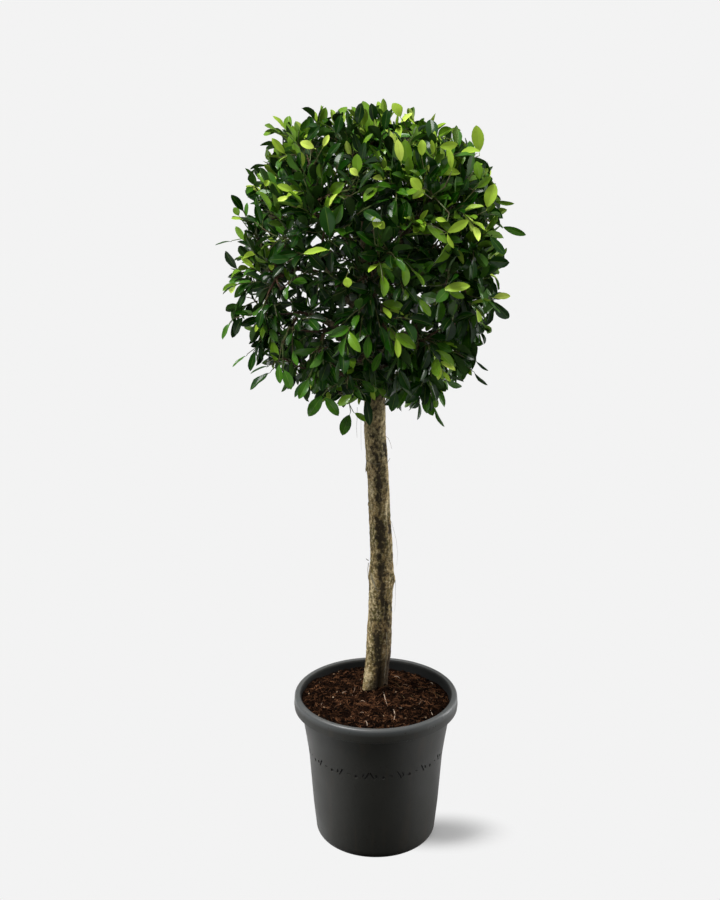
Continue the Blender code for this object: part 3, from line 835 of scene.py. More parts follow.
def earthy_material(name, dark, pale, scale):
    """Two earthy tones in patches, matt, with a rough skin."""
    material, tree, shader, place = new_material(name, Roughness=0.95, Specular_IOR_Level=0.03)
    colour = mix_colours(tree, blotches(tree, place, scale, *EARTHY_LIMITS), dark, pale)
    # Wide patches are darker all over.
    colour = layered(tree, colour, [(blotches(tree, place, *DARK_PATCHES), DARK_PATCH_SHARE, SOIL_BLACK)])
    tree.links.new(colour, shader.inputs["Base Color"])
    add_grain(tree, shader, place, *EARTHY_GRAIN)
    return material


for piece, name, dark, pale, scale, sharp in (
    (soil, "potting_mix", SOIL_BLACK, SOIL_BROWN, 120.0, 60),
    (crumbs, "mix_crumbs", SOIL_BLACK, SOIL_BROWN, 160.0, 20),
    (chips, "mix_chips", CHIP_DARK, CHIP_PALE, 60.0, 20),
    (fibres, "mix_fibres", FIBRE_DARK, FIBRE_RED, 70.0, 60),
    (straws, "mix_straws", STRAW_DARK, STRAW_PALE, 50.0, 60),
    (roots, "mix_roots", ROOT_DARK, ROOT_TAN, 90.0, 60),
):
    shade(piece, sharp)
    stands_for = ["soil"] if piece is soil else []
    finish_piece(piece, name, [earthy_material(name, dark, pale, scale)], stands_for)

# %% [markdown]
# ## The stem
#
# The stem of a laurel fig is smooth and pale when young, but this one is made of strands: aerial roots that
# ran down the bark and fused with it, so it is fluted, with a deep groove low on the right, a knob where a
# branch was pruned, and roots that spread at the foot. A cylinder could be sculpted, but that can't be
# repeated. A flat grid rolled into a tube in code can: its UV map comes with it, and each point's distance
# from the stem's line is a formula for all these features.

# %% The line, width and roots of the stem, as in the solid
# (height, sideways offset, radius) up the stem
TRUNK_STATIONS = (
    (0.322, -0.002, 0.0246),
    (0.405, 0.005, 0.0256),
    (0.505, 0.008, 0.0237),
    (0.562, 0.01, 0.0252),
    (0.62, 0.011, 0.0228),
    (0.745, 0.005, 0.0212),
    (0.895, -0.004, 0.0216),
    (0.98, -0.005, 0.0196),
    (1.09, -0.007, 0.0152),
    (1.18, -0.015, 0.0112),
    (1.275, -0.026, 0.0072),
)
ROOT_LOBES = 5
ROOT_PHASE = 0.8
ROOT_LOBE_DEPTH = 0.1
ROOT_FLARE_HEIGHT = 0.04


def trunk_value(height, column):
    """The stem's offset or radius at a height, eased between stations."""
    for low, high in zip(TRUNK_STATIONS, TRUNK_STATIONS[1:]):
        if height <= high[0]:
            share = max(0.0, (height - low[0]) / (high[0] - low[0]))
            eased = (share + share * share * (3 - 2 * share)) / 2
            return low[column] + (high[column] - low[column]) * eased
    return TRUNK_STATIONS[-1][column]


def trunk_point(height):
    return Vector((trunk_value(height, 1), TRUNK_SETBACK, height))


def trunk_radius(height):
    return trunk_value(height, 2)


def root_flare(height, angle):
    """Factor on the radius near the soil, with a lobe over each main root."""
    fade = exp((TRUNK_STATIONS[0][0] - height) / ROOT_FLARE_HEIGHT)
    return 1 + fade * (ROOT_LOBE_DEPTH * cos(ROOT_LOBES * angle + ROOT_PHASE))


# %% Relief of the bark
BARK_SIDES = 168
BARK_ROWS = 470
ROW_CROWDING = 1.15
FRONT = radians(-90)
# Flutes, lumps and skin: (scale round the stem, scale up it, depth, roughness, octaves)
BARK_NOISES = (
    (1.6, 9.0, 0.0016, 1.0, 3),
    (4.0, 60.0, 0.001, 1.0, 3),
    (14.0, 190.0, 0.0005, 0.8, 2),
)

# Bumps and hollows: (turn from the front, height, half its turn, half its height, how far it stands out)
BARK_FEATURES = (
    (0.3, 0.36, 0.16, 0.05, -0.005), (0.5, 0.5, 0.16, 0.05, -0.002),
    (0.72, 0.372, 0.14, 0.05, 0.002), (-1.4, 0.728, 0.1, 0.005, 0.002),
    (-0.72, 0.322, 0.4, 0.022, 0.005), (0.32, 0.324, 0.34, 0.034, -0.0075),
    (1.35, 0.566, 0.22, 0.011, 0.0042), (-1.3, 0.585, 0.2, 0.02, 0.0026),
    (-1.2, 0.548, 0.18, 0.01, -0.002), (-0.05, 0.6, 0.16, 0.07, -0.0024),
    (0.95, 0.69, 0.2, 0.03, -0.0022), (1.25, 0.845, 0.24, 0.022, 0.0018),
    (-1.45, 0.802, 0.1, 0.006, 0.004), (0.35, 0.79, 0.22, 0.06, -0.0018),
)


def turn_between(angle, other):
    """Smallest turn from one angle to another."""
    return (angle - other + pi) % (2 * pi) - pi


def round_stem(angle, height, scale_round, scale_up):
    """Where a noise is read for a place on the bark, so that it closes on itself round the stem."""
    return Vector((scale_round * cos(angle), scale_round * sin(angle), height * scale_up))


def bark_relief(angle, height, size):
    """How far the bark stands out, on a limb whose relief is scaled by size."""
    total = 0.0
    for scale_round, scale_up, depth, roughness, octaves in BARK_NOISES:
        spot = round_stem(angle, height, scale_round, scale_up)
        total += depth * noise.fractal(spot, roughness, 2.0, octaves)
    return size * total


def swelling(across, along):
    """A soft round rise, 1 in its middle."""
    return exp(-across * across - along * along)


# Dark stains and pale patches, partly real stains and partly painted shade towards the middle and painted
# light near the sides: (share of the stem's half width, height, half width, half height, how dark)
BARK_STAINS_AND_PAINTED_LIGHT = (
    (-0.15, 0.846, 0.42, 0.022, 0.5), (0.8, 0.85, 0.22, 0.016, 0.9),
    (0.15, 0.808, 0.38, 0.014, 0.6), (0.1, 0.782, 0.25, 0.015, 1.0),
    (-0.05, 0.745, 0.3, 0.01, 0.75), (-0.05, 0.68, 0.42, 0.022, 0.85),
    (0.85, 0.677, 0.2, 0.014, 0.85), (0.0, 0.65, 0.42, 0.014, 0.6),
    (-0.05, 0.596, 0.28, 0.028, 1.0), (0.18, 0.54, 0.18, 0.03, 0.95),
    (0.62, 0.487, 0.32, 0.03, 0.85), (-0.15, 0.43, 0.28, 0.04, 1.0),
    (0.12, 0.378, 0.15, 0.026, 1.0), (0.92, 0.382, 0.12, 0.014, 0.6),
    (-0.75, 0.765, 0.2, 0.014, -0.9), (0.65, 0.719, 0.16, 0.014, -0.95),
    (-0.62, 0.834, 0.16, 0.01, -0.7), (0.6, 0.885, 0.14, 0.016, -0.7),
    (-0.7, 0.522, 0.26, 0.045, -0.6), (-0.6, 0.424, 0.12, 0.01, -0.9),
    (-0.72, 0.352, 0.3, 0.022, -0.65), (0.66, 0.378, 0.1, 0.02, -0.8),
)
STAIN_CLOUDS = 0.4
STAIN_SCALES = (1.8, 22)
MIDDLE_SHADE_AND_SIDE_LIGHT = 0.22


def bark_stain_and_shade(angle, height):
    """How dark the skin is at a place, from -1 (pale) to 1: clouds all round, painted shade down the front's
    middle with painted light to its sides, and the front's own stains and pale patches, partly painted shade
    and light.
    """
    total = STAIN_CLOUDS * noise.noise(round_stem(angle, height, *STAIN_SCALES))
    away = turn_between(angle, FRONT)
    # Painted shade down the front's middle, and painted light a little to each side of it.
    total += MIDDLE_SHADE_AND_SIDE_LIGHT * cos(3 * away) * exp(-away * away)
    if abs(away) < pi / 2:
        share = sin(away)
        for at_share, at_height, half_share, half_height, dark in BARK_STAINS_AND_PAINTED_LIGHT:
            across = (share - at_share) / half_share
            along = (height - at_height) / half_height
            total += dark * swelling(across, along)
    return max(-1.0, min(1.0, total))


def bark_features(angle, height):
    """The stem's own bumps and hollows."""
    total = 0.0
    for at_turn, at_height, half_turn, half_height, depth in BARK_FEATURES:
        across = turn_between(angle, FRONT + at_turn) / half_turn
        along = (height - at_height) / half_height
        total += depth * swelling(across, along)
    return total


# %% Roll a grid into the stem
def rolled_grid(sides, rows, place):
    """A closed tube from a flat grid. place(share round, share up) gives a point, its depth and its stain,
    which on the stem holds painted shade and light too.
    """
    deselect_all()
    bpy.ops.mesh.primitive_grid_add(x_subdivisions=sides, y_subdivisions=rows, size=2, calc_uvs=True)
    obj = bpy.context.object
    depths = np.zeros(len(obj.data.vertices), np.float32)
    stains_and_shade = np.zeros(len(obj.data.vertices), np.float32)
    for i, vert in enumerate(obj.data.vertices):
        point, depths[i], stains_and_shade[i] = place((vert.co.x + 1) / 2 % 1.0, (vert.co.y + 1) / 2)
        vert.co = point
    for name, values in (("hollow", depths), ("stain_and_shade", stains_and_shade)):
        attribute = obj.data.attributes.new(name, "FLOAT", "POINT")
        attribute.data.foreach_set("value", values)
    edit_new_primitive()
    bpy.ops.mesh.remove_doubles(threshold=MERGE_DISTANCE)
    bpy.ops.mesh.select_all(action="DESELECT")
    bpy.ops.mesh.select_non_manifold()
    bpy.ops.mesh.edge_face_add()
    finish_edit()
    return obj


def stem_place(share_round, share_up):
    low = TRUNK_STATIONS[0][0] + CLEARANCE
    high = TRUNK_STATIONS[-1][0]
    height = low + (high - low) * share_up**ROW_CROWDING
    angle = 2 * pi * share_round
    width = trunk_radius(height)
    relief = bark_relief(angle, height, min(1.0, width / TRUNK_STATIONS[0][2])) + bark_features(angle, height)
    radius = width * root_flare(height, angle) + relief
    point = trunk_point(height) + Vector((radius * cos(angle), radius * sin(angle), 0))
    return point, -relief, bark_stain_and_shade(angle, height)


stem = rolled_grid(BARK_SIDES, BARK_ROWS, stem_place)
print("stem rolled:", len(stem.data.polygons), "faces")

# %% Material of the bark
BARK_DARK = (0.0215, 0.0148, 0.0062)
BARK_OLIVE = (0.178, 0.146, 0.046)
BARK_TAN = (0.395, 0.28, 0.114)
BARK_CREAM = (0.9, 0.74, 0.44)
BARK_RED = (0.085, 0.04, 0.022)
BARK_SHADED = (0.03, 0.024, 0.016)
BARK_SOILED = (0.026, 0.014, 0.008)
# Patterns of the bark: (scale, low, high)
BARK_PATCHES = (52.0, 0.4, 0.6)
BARK_CLOUDS = (165.0, 0.25, 0.75)
BARK_FLECKS = (230.0, 0.54, 0.66)
BARK_SPECKS = (310.0, 0.54, 0.64)
BARK_WRINKLES = (300.0, 0.48, 0.66)
BARK_STRANDS = (420.0, 0.46, 0.62)
DRAWN_OUT = (1.0, 1.0, 0.7)
WRINKLED = (0.45, 0.45, 1.5)
STRAND_TURN = (0.0, radians(28), 0.0)
STRAND_STRETCH = (1.0, 1.0, 5.0)
# Where each tone starts and is full, by the stain with its painted shade and light, the height, the side or
# the depth of the relief
PALE_STAIN_AND_LIGHT = (-0.15, -0.75)
DARK_STAIN_AND_SHADE = (0.0, 0.8)
PAINTED_LIGHT_ABOVE = (0.7, 0.82)
ROOTY_SIDE, ROOTY_HEIGHT = (0.006, 0.016), (0.5, 0.44)
SOIL_LINE = (0.378, 0.346)
SOIL_LINE_SLANT = 1.7
IN_THE_CROWN = (0.925, 0.975)
SHADED_HOLLOW_DEPTHS = (0.0004, 0.0036)
BARK_GRAIN = 380.0
CRACK_DEPTH = -0.7


def bark_material():
    """Tan and olive skin with cream flecks, dark where it is stained. Painted shade darkens the front's
    middle, the hollows of the relief and the stem inside the crown, and painted light makes it paler near its
    sides and higher up.
    """
    material, tree, shader, place = new_material("bark", Roughness=0.85, Specular_IOR_Level=0.3)
    drawn = object_place(tree, DRAWN_OUT)
    x, _, z = add_node(tree, "SeparateXYZ", Vector=place).outputs
    hollow, stain_and_shade = (
        add_node(tree, "Attribute", {"attribute_name": name}).outputs["Fac"]
        for name in ("hollow", "stain_and_shade")
    )
    wrinkles = blotches(tree, object_place(tree, WRINKLED), *BARK_WRINKLES)
    # The stain and its painted shade are broken up by a cloud, so their edge is ragged.
    cloud = blotches(tree, drawn, *BARK_CLOUDS)
    stain_and_shade_mask = math_node(tree, "SUBTRACT", math_node(tree, "ADD", stain_and_shade, times(tree, cloud, 2.0)), 1.0)
    # Thin strands run down the skin on a slant.
    slanted = add_node(tree, "Mapping", {"vector_type": "TEXTURE"}, Vector=place)
    slanted.inputs["Rotation"].default_value = STRAND_TURN
    slanted.inputs["Scale"].default_value = STRAND_STRETCH
    # Low on the right side roots have fused: their skin is reddish, and the mix has stained their foot.
    rooty = times(tree, spread(tree, x, *ROOTY_SIDE), spread(tree, z, *ROOTY_HEIGHT))
    line = math_node(tree, "SUBTRACT", z, times(tree, x, SOIL_LINE_SLANT))
    soiled = times(tree, spread(tree, line, *SOIL_LINE), spread(tree, cloud, 1.0, 0.2, 0.45, 0.9))
    layers = (
        # Pale stains, with painted light near the stem's sides.
        (spread(tree, stain_and_shade_mask, *PALE_STAIN_AND_LIGHT), 0.75, BARK_CREAM),
        (blotches(tree, place, *BARK_FLECKS), 0.6, BARK_CREAM),
        # Higher up, the stem is painted paler: painted light.
        (spread(tree, z, *PAINTED_LIGHT_ABOVE), 0.2, BARK_CREAM),
        # Dark stains, with painted shade down the front's middle.
        (spread(tree, stain_and_shade_mask, *DARK_STAIN_AND_SHADE), 0.93, BARK_DARK),
        (wrinkles, 0.3, BARK_DARK),
        (blotches(tree, slanted.outputs["Vector"], *BARK_STRANDS), 0.42, BARK_DARK),
        (blotches(tree, place, *BARK_SPECKS), 0.55, BARK_DARK),
        (rooty, 0.38, BARK_RED),
        (soiled, 1.0, BARK_SOILED),
        # Painted shade in the hollows of the relief.
        (spread(tree, hollow, *SHADED_HOLLOW_DEPTHS), 0.7, BARK_DARK),
        # Inside the crown the bark is painted darker, as painted shade under the crown.
        (spread(tree, z, *IN_THE_CROWN), 0.72, BARK_SHADED),
    )
    skin = mix_colours(tree, blotches(tree, drawn, *BARK_PATCHES), BARK_OLIVE, BARK_TAN)
    tree.links.new(layered(tree, skin, layers), shader.inputs["Base Color"])
    grain = use_group(tree, GRAIN, Vector=drawn, Scale=BARK_GRAIN)
    height = math_node(tree, "ADD", grain, times(tree, wrinkles, CRACK_DEPTH))
    add_bump(tree, shader, height, 0.7, 0.001)
    return material


BARK = bark_material()
shade(stem, 60)
finish_piece(stem, "bark_stem", [BARK], ["trunk"])

# %% [markdown]
# Hair-fine aerial roots hang off the stem, one pale strand is tied right round it by its own growth, and
# thin strips of bark stand off. A sculptor would miss them, but they are what makes the stem a fig's. Each is
# a thin tube through points named by height and by how far to the side of the stem's line they lie.

# %% Rootlets and strips on the stem
# (radius, places), each place (sideways, height, how far it stands off the bark)
ROOTLETS = (
    (0.00045, ((-0.034, 0.93, 0), (-0.0348, 0.905, 0), (-0.0361, 0.889, 0), (-0.0361, 0.867, 0))),
    (0.0003, ((-0.027, 0.905, 0), (-0.0282, 0.868, 0), (-0.0295, 0.84, 0))),
    (0.0004, ((0.0205, 0.872, 0), (0.0255, 0.866, 0), (0.029, 0.857, 0), (0.0312, 0.844, 0))),
    (0.0004, ((0.0205, 0.694, 0), (0.0236, 0.686, 0), (0.0262, 0.673, 0))),
    (0.00028, ((0.0262, 0.673, 0), (0.0305, 0.65, 0), (0.0325, 0.62, 0), (0.031, 0.592, 0))),
    (0.0005, ((0.024, 0.572, 0), (0.029, 0.562, 0), (0.03, 0.548, 0))),
    (0.00028, ((0.03, 0.548, 0), (0.0312, 0.525, 0), (0.0306, 0.492, 0))),
    (0.0007, ((-0.0205, 0.826, 0.003), (-0.017, 0.824, 0.003), (-0.012, 0.822, 0.003),
               (-0.0039, 0.8205, 0.003), (0.006, 0.82, 0.003), (0.0125, 0.8195, 0.003),
               (0.0175, 0.819, 0.003), (0.0208, 0.8198, 0.003), (0.0262, 0.824, 0))),
    (0.0011, ((-0.0196, 0.823, 0.001), (-0.0222, 0.81, 0.001), (-0.024, 0.795, 0))),
    (0.0009, ((-0.0262, 0.6, 0), (-0.0276, 0.585, 0.001), (-0.0262, 0.566, 0.001),
               (-0.0225, 0.556, 0.001))),
    (0.001, ((-0.0262, 0.605, 0), (-0.03, 0.607, 0), (-0.0315, 0.609, 0))),
    (0.001, ((-0.0235, 0.59, 0.001), (-0.018, 0.572, 0.001), (-0.011, 0.556, 0.001),
               (-0.006, 0.546, 0))),
    (0.0008, ((-0.0225, 0.578, 0.001), (-0.015, 0.562, 0.001), (-0.0095, 0.549, 0))),
    (0.00085, ((0.015, 0.455, 0.001), (0.017, 0.425, 0.001), (0.0155, 0.392, 0.001),
               (0.0175, 0.35, 0.001))),
)


def beside_stem(sideways, height, lift):
    """A place on the viewer's side of the stem, or beside it where it lies wider than the stem."""
    angle = FRONT + asin(max(-1.0, min(1.0, sideways / trunk_radius(height))))
    relief = bark_relief(angle, height, 1.0) + bark_features(angle, height)
    radius = trunk_radius(height) * root_flare(height, angle) + relief + lift
    forward = sqrt(max(0.0, radius**2 - sideways**2))
    return trunk_point(height) + Vector((sideways, -forward, 0))


ROOTLET_DARK = (0.13, 0.11, 0.07)
ROOTLET_PALE = (0.44, 0.4, 0.29)


def rootlet_heap():
    heap = Heap()
    for radius, places in ROOTLETS:
        path = [beside_stem(*place) for place in places]
        heap.add(*tube(path, [radius * share for share in np.linspace(1.0, 0.6, len(path))], 4))
    return heap


rootlets = rootlet_heap().make()
shade(rootlets, 60)
finish_piece(rootlets, "rootlets", [earthy_material("rootlets", ROOTLET_DARK, ROOTLET_PALE, 90.0)])

# %% [markdown]
# ## How the crown is laid out
#
# The crown is a squarish globe. Boughs leave the stem in three rings, and each ends in a mass of twigs that
# keeps to its own share of the globe. The solids were grown by a rule, and the same rule is written again
# here, with the same seed. So the fine crown follows the plain one limb by limb.

# %% The crown's outline, and where its masses lie
CROWN_CENTRE = Vector((-0.013, 0.024, 1.222))
CROWN_RADIUS = 0.276
CROWN_HALF_HEIGHT = 0.298
CROWN_SQUARENESS = 2.5
CROWN_FOOT = 0.883
# (name, count, elevation, first azimuth, lowest and highest bough, how far out the bough reaches)
RINGS = (
    ("lower", 5, -42.0, 18.0, 0.972, 1.015, 0.56),
    ("middle", 6, -3.0, 30.0, 1.062, 1.12, 0.45),
    ("upper", 5, 38.0, 18.0, 1.152, 1.205, 0.42),
    ("top", 1, 90.0, 0.0, 0.0, 0.0, 0.0),
)
HEART_REACH = 0.62
STEM_REACH = 0.74
BOUGH_BEND = 0.55
BOUGH_RISE = 0.035
BOUGH_BASE_RADIUS = 0.0085
BOUGH_TIP_RADIUS = 0.0048
BOUGH_POINTS = 5


def envelope(direction):
    """Distance from the crown's centre to its outline, along a unit direction."""
    flat = hypot(direction.x, direction.y) / CROWN_RADIUS
    tall = abs(direction.z) / CROWN_HALF_HEIGHT
    return (flat**CROWN_SQUARENESS + tall**CROWN_SQUARENESS) ** (-1 / CROWN_SQUARENESS)


def in_crown(direction, reach):
    """The point at a share of the way from the crown's centre to its outline."""
    return CROWN_CENTRE + direction * (envelope(direction) * reach)


def reach_of(point):
    """How far out a point lies, as a share of the way to the outline."""
    from_centre = point - CROWN_CENTRE
    return from_centre.length / envelope(from_centre.normalized())


def bough_line(start, end, share):
    """A point on a bough: out of the stem, rising, then bending over towards its mass."""
    bend = start.lerp(end, BOUGH_BEND) + UP * BOUGH_RISE
    return start * (1 - share) ** 2 + bend * (2 * share * (1 - share)) + end * share**2


def bough_radius(share):
    return BOUGH_BASE_RADIUS + (BOUGH_TIP_RADIUS - BOUGH_BASE_RADIUS) * share


def plan_masses():
    """Name, heart, bough ends, bough path and stem end of each mass, ring by ring."""
    masses = []
    for ring, count, elevation, first, low, high, bough_reach in RINGS:
        tilt = radians(elevation)
        for i in range(count):
            azimuth = radians(first + 360.0 * i / count)
            flat = Vector((cos(azimuth), sin(azimuth), 0))
            direction = flat * cos(tilt) + UP * sin(tilt)
            mass = {
                "name": ring if count == 1 else f"{ring}_{i + 1}",
                "heart": in_crown(direction, HEART_REACH),
                "stem_end": in_crown(direction, STEM_REACH),
                "path": None,
            }
            if count > 1:
                order = (i * (2 if count % 2 else 3)) % count
                start = trunk_point(low + (high - low) * order / (count - 1))
                end = in_crown(direction, bough_reach)
                mass["ends"] = (start, end)
                shares = [k / (BOUGH_POINTS - 1) for k in range(BOUGH_POINTS)]
                mass["path"] = [bough_line(start, end, share) for share in shares]
            masses.append(mass)
    return masses


MASSES = plan_masses()
print("masses:", len(MASSES))

# %% [markdown]
# ## The boughs
#
# Each bough is one tapering limb that swells where it leaves the stem. A curve with a round bevel would be
# too even, so the boughs are rolled from grids like the stem, with the same bark relief at a smaller size.

# %% Roll the boughs
BOUGH_SIDES = 24
BOUGH_ROWS = 64
COLLAR_SWELL = 0.35
COLLAR_LENGTH = 0.16
BOUGH_RELIEF = 0.45
NEARBY = 0.01


def bough_place(mass, number):
    """The function that places a point of one bough, for a grid to be rolled by."""
    start, end = mass["ends"]

    def place(share_round, share_up):
        centre = bough_line(start, end, share_up)
        along = bough_line(start, end, share_up + NEARBY) - bough_line(start, end, share_up - NEARBY)
        along.normalize()
        side = along.cross(UP).normalized()
        top = side.cross(along)
        angle = 2 * pi * share_round
        relief = bark_relief(angle, share_up * (end - start).length + number, BOUGH_RELIEF)
        swell = 1 + COLLAR_SWELL * exp(-share_up / COLLAR_LENGTH)
        radius = bough_radius(share_up) * swell + relief
        stain_and_shade = STAIN_CLOUDS * noise.noise(centre * STAIN_SCALES[1])
        return centre + (side * cos(angle) + top * sin(angle)) * radius, -2 * relief, stain_and_shade

    return place


for number, mass in enumerate(MASSES):
    if mass["path"] is None:
        continue
    bough = rolled_grid(BOUGH_SIDES, BOUGH_ROWS, bough_place(mass, number))
    shade(bough, 60)
    finish_piece(bough, f"bark_bough_{mass['name']}", [BARK], [f"bough_{mass['name']}"])

# %% [markdown]
# ## Twigs by the solids' rule
#
# The tips that the twigs aim for are spread evenly over the globe, by the golden angle, as seeds are in a
# sunflower. Each goes to the mass whose heart is nearest. A twig starts at the fork that reaches its tip
# with the least wood and turn, and a twig that would touch a limb or leave its mass's space is skipped.

# %% Space, limbs and tips
SEED = 41
GOLDEN_ANGLE = radians(137.508)
CELL_GAP = 0.0008
LIMB_CLEARANCE = 0.0015
LIMB_STEP = 0.005
LIMB_FOOT = CROWN_FOOT - 0.087
TIP_COUNT = 160
TIP_REACH = (0.9, 1.03)
TIP_THINNING = 0.1
THINNED_BELOW = 0.2
TIP_PULL_IN = 0.052


def inside_cell(point, mass, gap):
    """True where a point is in the mass's own space, nearer its heart than any other's."""
    for other in MASSES:
        if other is mass:
            continue
        across = (other["heart"] - mass["heart"]).normalized()
        middle = (other["heart"] + mass["heart"]) / 2
        if (point - middle).dot(across) > -gap:
            return False
    return True


def limb_samples():
    """(point, radius) close together along the stem and every bough."""
    samples = []
    steps = ceil((TRUNK_STATIONS[-1][0] - LIMB_FOOT) / LIMB_STEP)
    for i in range(steps + 1):
        height = LIMB_FOOT + (TRUNK_STATIONS[-1][0] - LIMB_FOOT) * i / steps
        samples.append((trunk_point(height), trunk_radius(height)))
    for mass in MASSES:
        if mass["path"] is None:
            continue
        for i, (a, b) in enumerate(zip(mass["path"], mass["path"][1:])):
            steps = ceil((b - a).length / LIMB_STEP)
            for k in range(steps + 1):
                radius = bough_radius((i + k / steps) / (BOUGH_POINTS - 1))
                samples.append((a.lerp(b, k / steps), radius))
    return samples


def twig_is_clear(start, end, radius):
    for point, limb_radius in SAMPLES:
        nearest, share = geometry.intersect_point_line(point, start, end)
        if share < 0:
            nearest = start
        elif share > 1:
            nearest = end
        if (nearest - point).length < radius + limb_radius + LIMB_CLEARANCE:
            return False
    return True


def spread_directions(count):
    """Directions spread evenly over a globe."""
    for i in range(count):
        z = 1 - 2 * (i + 0.5) / count
        flat = sqrt(1 - z * z)
        yield Vector((flat * cos(i * GOLDEN_ANGLE), flat * sin(i * GOLDEN_ANGLE), z))


def crown_tips(rng):
    """Directions spread evenly over the crown, each with how far out its twig aims."""
    tips = []
    for direction in spread_directions(TIP_COUNT):
        reach = rng.uniform(*TIP_REACH)
        thinning = TIP_THINNING if direction.z < THINNED_BELOW else 0.0
        if rng.random() >= thinning:
            tips.append((direction, reach))
    return tips


SAMPLES = limb_samples()
TIPS = crown_tips(random.Random(SEED))
print("limb samples:", len(SAMPLES), "tips:", len(TIPS))

# %% Stems and twigs of the masses
STEM_BEND = 0.35
STEM_TIP_RADIUS = 0.003
LEADER_STEM_SHARE = 0.72
TWIG_BASE_RADIUS = 0.0027
TWIG_TIP_RADIUS = 0.0018
TWIG_TO_PARENT = 0.85
TWIG_SHORTEST = 0.02
FORK_PLACES = (0.15, 0.35, 0.55, 0.75, 0.95)
FORK_NARROWEST = radians(15)
FORK_WIDEST = radians(80)
FORK_TURN_COST = 0.5


def stem_of(mass):
    """The mass's stem as two twigs, which go on from the bough's tip, or from the trunk's."""
    if mass["path"] is None:
        foot = trunk_point(TRUNK_STATIONS[-1][0])
        heading = UP
        foot_radius = TRUNK_STATIONS[-1][2] * LEADER_STEM_SHARE
    else:
        foot = mass["path"][-1]
        heading = (foot - mass["path"][-2]).normalized()
        foot_radius = BOUGH_TIP_RADIUS
    start = foot + heading * CLEARANCE
    bend = start + heading * (STEM_BEND * (mass["stem_end"] - start).length)
    bend_radius = (foot_radius + STEM_TIP_RADIUS) / 2
    return [
        (start, bend, foot_radius, bend_radius),
        (bend, mass["stem_end"], bend_radius, STEM_TIP_RADIUS),
    ]


def best_fork(aim, twigs):
    """The fork that reaches a tip with the least wood and turn, and the new twig's radius."""
    best = None
    for start, end, start_radius, end_radius in twigs:
        for share in FORK_PLACES:
            fork = start.lerp(end, share)
            reach = aim - fork
            if reach.length < TWIG_SHORTEST:
                continue
            angle = (end - start).angle(reach)
            if not FORK_NARROWEST < angle < FORK_WIDEST:
                continue
            cost = reach.length * (1 + FORK_TURN_COST * (1 - cos(angle)))
            if best is None or cost < best[0]:
                parent_radius = start_radius + (end_radius - start_radius) * share
                best = (cost, fork, min(TWIG_BASE_RADIUS, TWIG_TO_PARENT * parent_radius))
    return best


def plan_twigs(mass):
    """The mass's stem and twigs as (start, end, start radius, end radius), nearest tips first."""
    twigs = stem_of(mass)
    aims = []
    for direction, reach in TIPS:
        aim = in_crown(direction, reach) - direction * TIP_PULL_IN
        if min(MASSES, key=lambda other: (other["heart"] - aim).length) is mass:
            aims.append(aim)
    aims.sort(key=lambda aim: (aim - mass["stem_end"]).length)
    for aim in aims:
        best = best_fork(aim, twigs)
        if best is None:
            continue
        _, fork, radius = best
        inside = inside_cell(aim, mass, CELL_GAP + TWIG_TIP_RADIUS)
        inside = inside and inside_cell(fork, mass, CELL_GAP + radius)
        if inside and twig_is_clear(fork, aim, radius):
            twigs.append((fork, aim, radius, TWIG_TIP_RADIUS))
    return twigs


for mass in MASSES:
    mass["twigs"] = plan_twigs(mass)
print("twigs by the solids' rule:", sum(len(mass["twigs"]) for mass in MASSES))

# %% [markdown]
# ## Leafy shoots
#
# From here the rule is carried further than the solids go. Each twig bears green shoots in a spiral, the
# shoots turn up to the light in the top of the crown and hang a little in the foot of it, and each ends
# where its leaves just reach the crown's outline. Where the real crown lets the sky through, shoots are
# left out. Shoots are planned first, as plain records, so that the leaves can be dealt out to them later.

# %% Plan the shoots
SHOOT_SEED = 19
SHOOT_SPACING = 0.0122
SHOOTY_SHARE = 0.88
SHOOT_SPREAD = radians(46)
SHOOT_LENGTHS = (0.034, 0.072)
SHOOT_REACH = (0.79, 0.91)
REACH_LUMPS = 0.15
LUMP_SCALE = 10.0
FREE_SHARE = 0.15
FREE_REACH = 0.085
SHOOT_SHRINKS = (1.0, 0.75, 0.55)
SHOOT_TRIES = 5
SHOOT_OUTWARD = 0.35
SHOOT_LIFT = 0.16
SHOOT_DROOP = 0.14
SHOOT_STEPS = 4
SHOOT_RADII = (0.0013, 0.0009)
DROOPS_BELOW = -0.15
SHOOT_FOOT_CLEAR = 0.03
SPREAD_JITTER = (0.7, 1.3)
END_LEAN = 0.15

# Where the crown is thin: (azimuth, elevation, half angle in degrees, share of shoots left out)
THIN_SPOTS = (
    (224.0, -10.0, 34.0, 0.43),
    (226.0, -4.0, 13.0, 0.62),
    (140.0, -10.0, 34.0, 0.62),
    (-55.0, -8.0, 22.0, 0.56),
    (52.0, -10.0, 24.0, 0.64),
    (250.0, -52.0, 26.0, 0.12),
)
# Where the outline falls short of the globe: (azimuth, elevation, half angle in degrees, by what share)
DENTED_SPOTS = (
    (0.0, -10.0, 50.0, 0.1),
    (180.0, 24.0, 26.0, 0.12),
    (180.0, 50.0, 20.0, -0.03),
    (180.0, -18.0, 20.0, -0.05),
    (0.0, 64.0, 26.0, 0.07),
    (0.0, 42.0, 20.0, -0.05),
    (-90.0, -78.0, 50.0, 0.08),
)


def direction_of(azimuth, elevation):
    """Unit vector at an azimuth from +X and an elevation, in degrees."""
    a, e = radians(azimuth), radians(elevation)
    return Vector((cos(a) * cos(e), sin(a) * cos(e), sin(e)))


def share_left_out(direction):
    """The share of shoots left out at a place in the crown."""
    share = 0.0
    for azimuth, elevation, half_angle, left_out in THIN_SPOTS:
        if direction.angle(direction_of(azimuth, elevation)) < radians(half_angle):
            share = max(share, left_out)
    return share


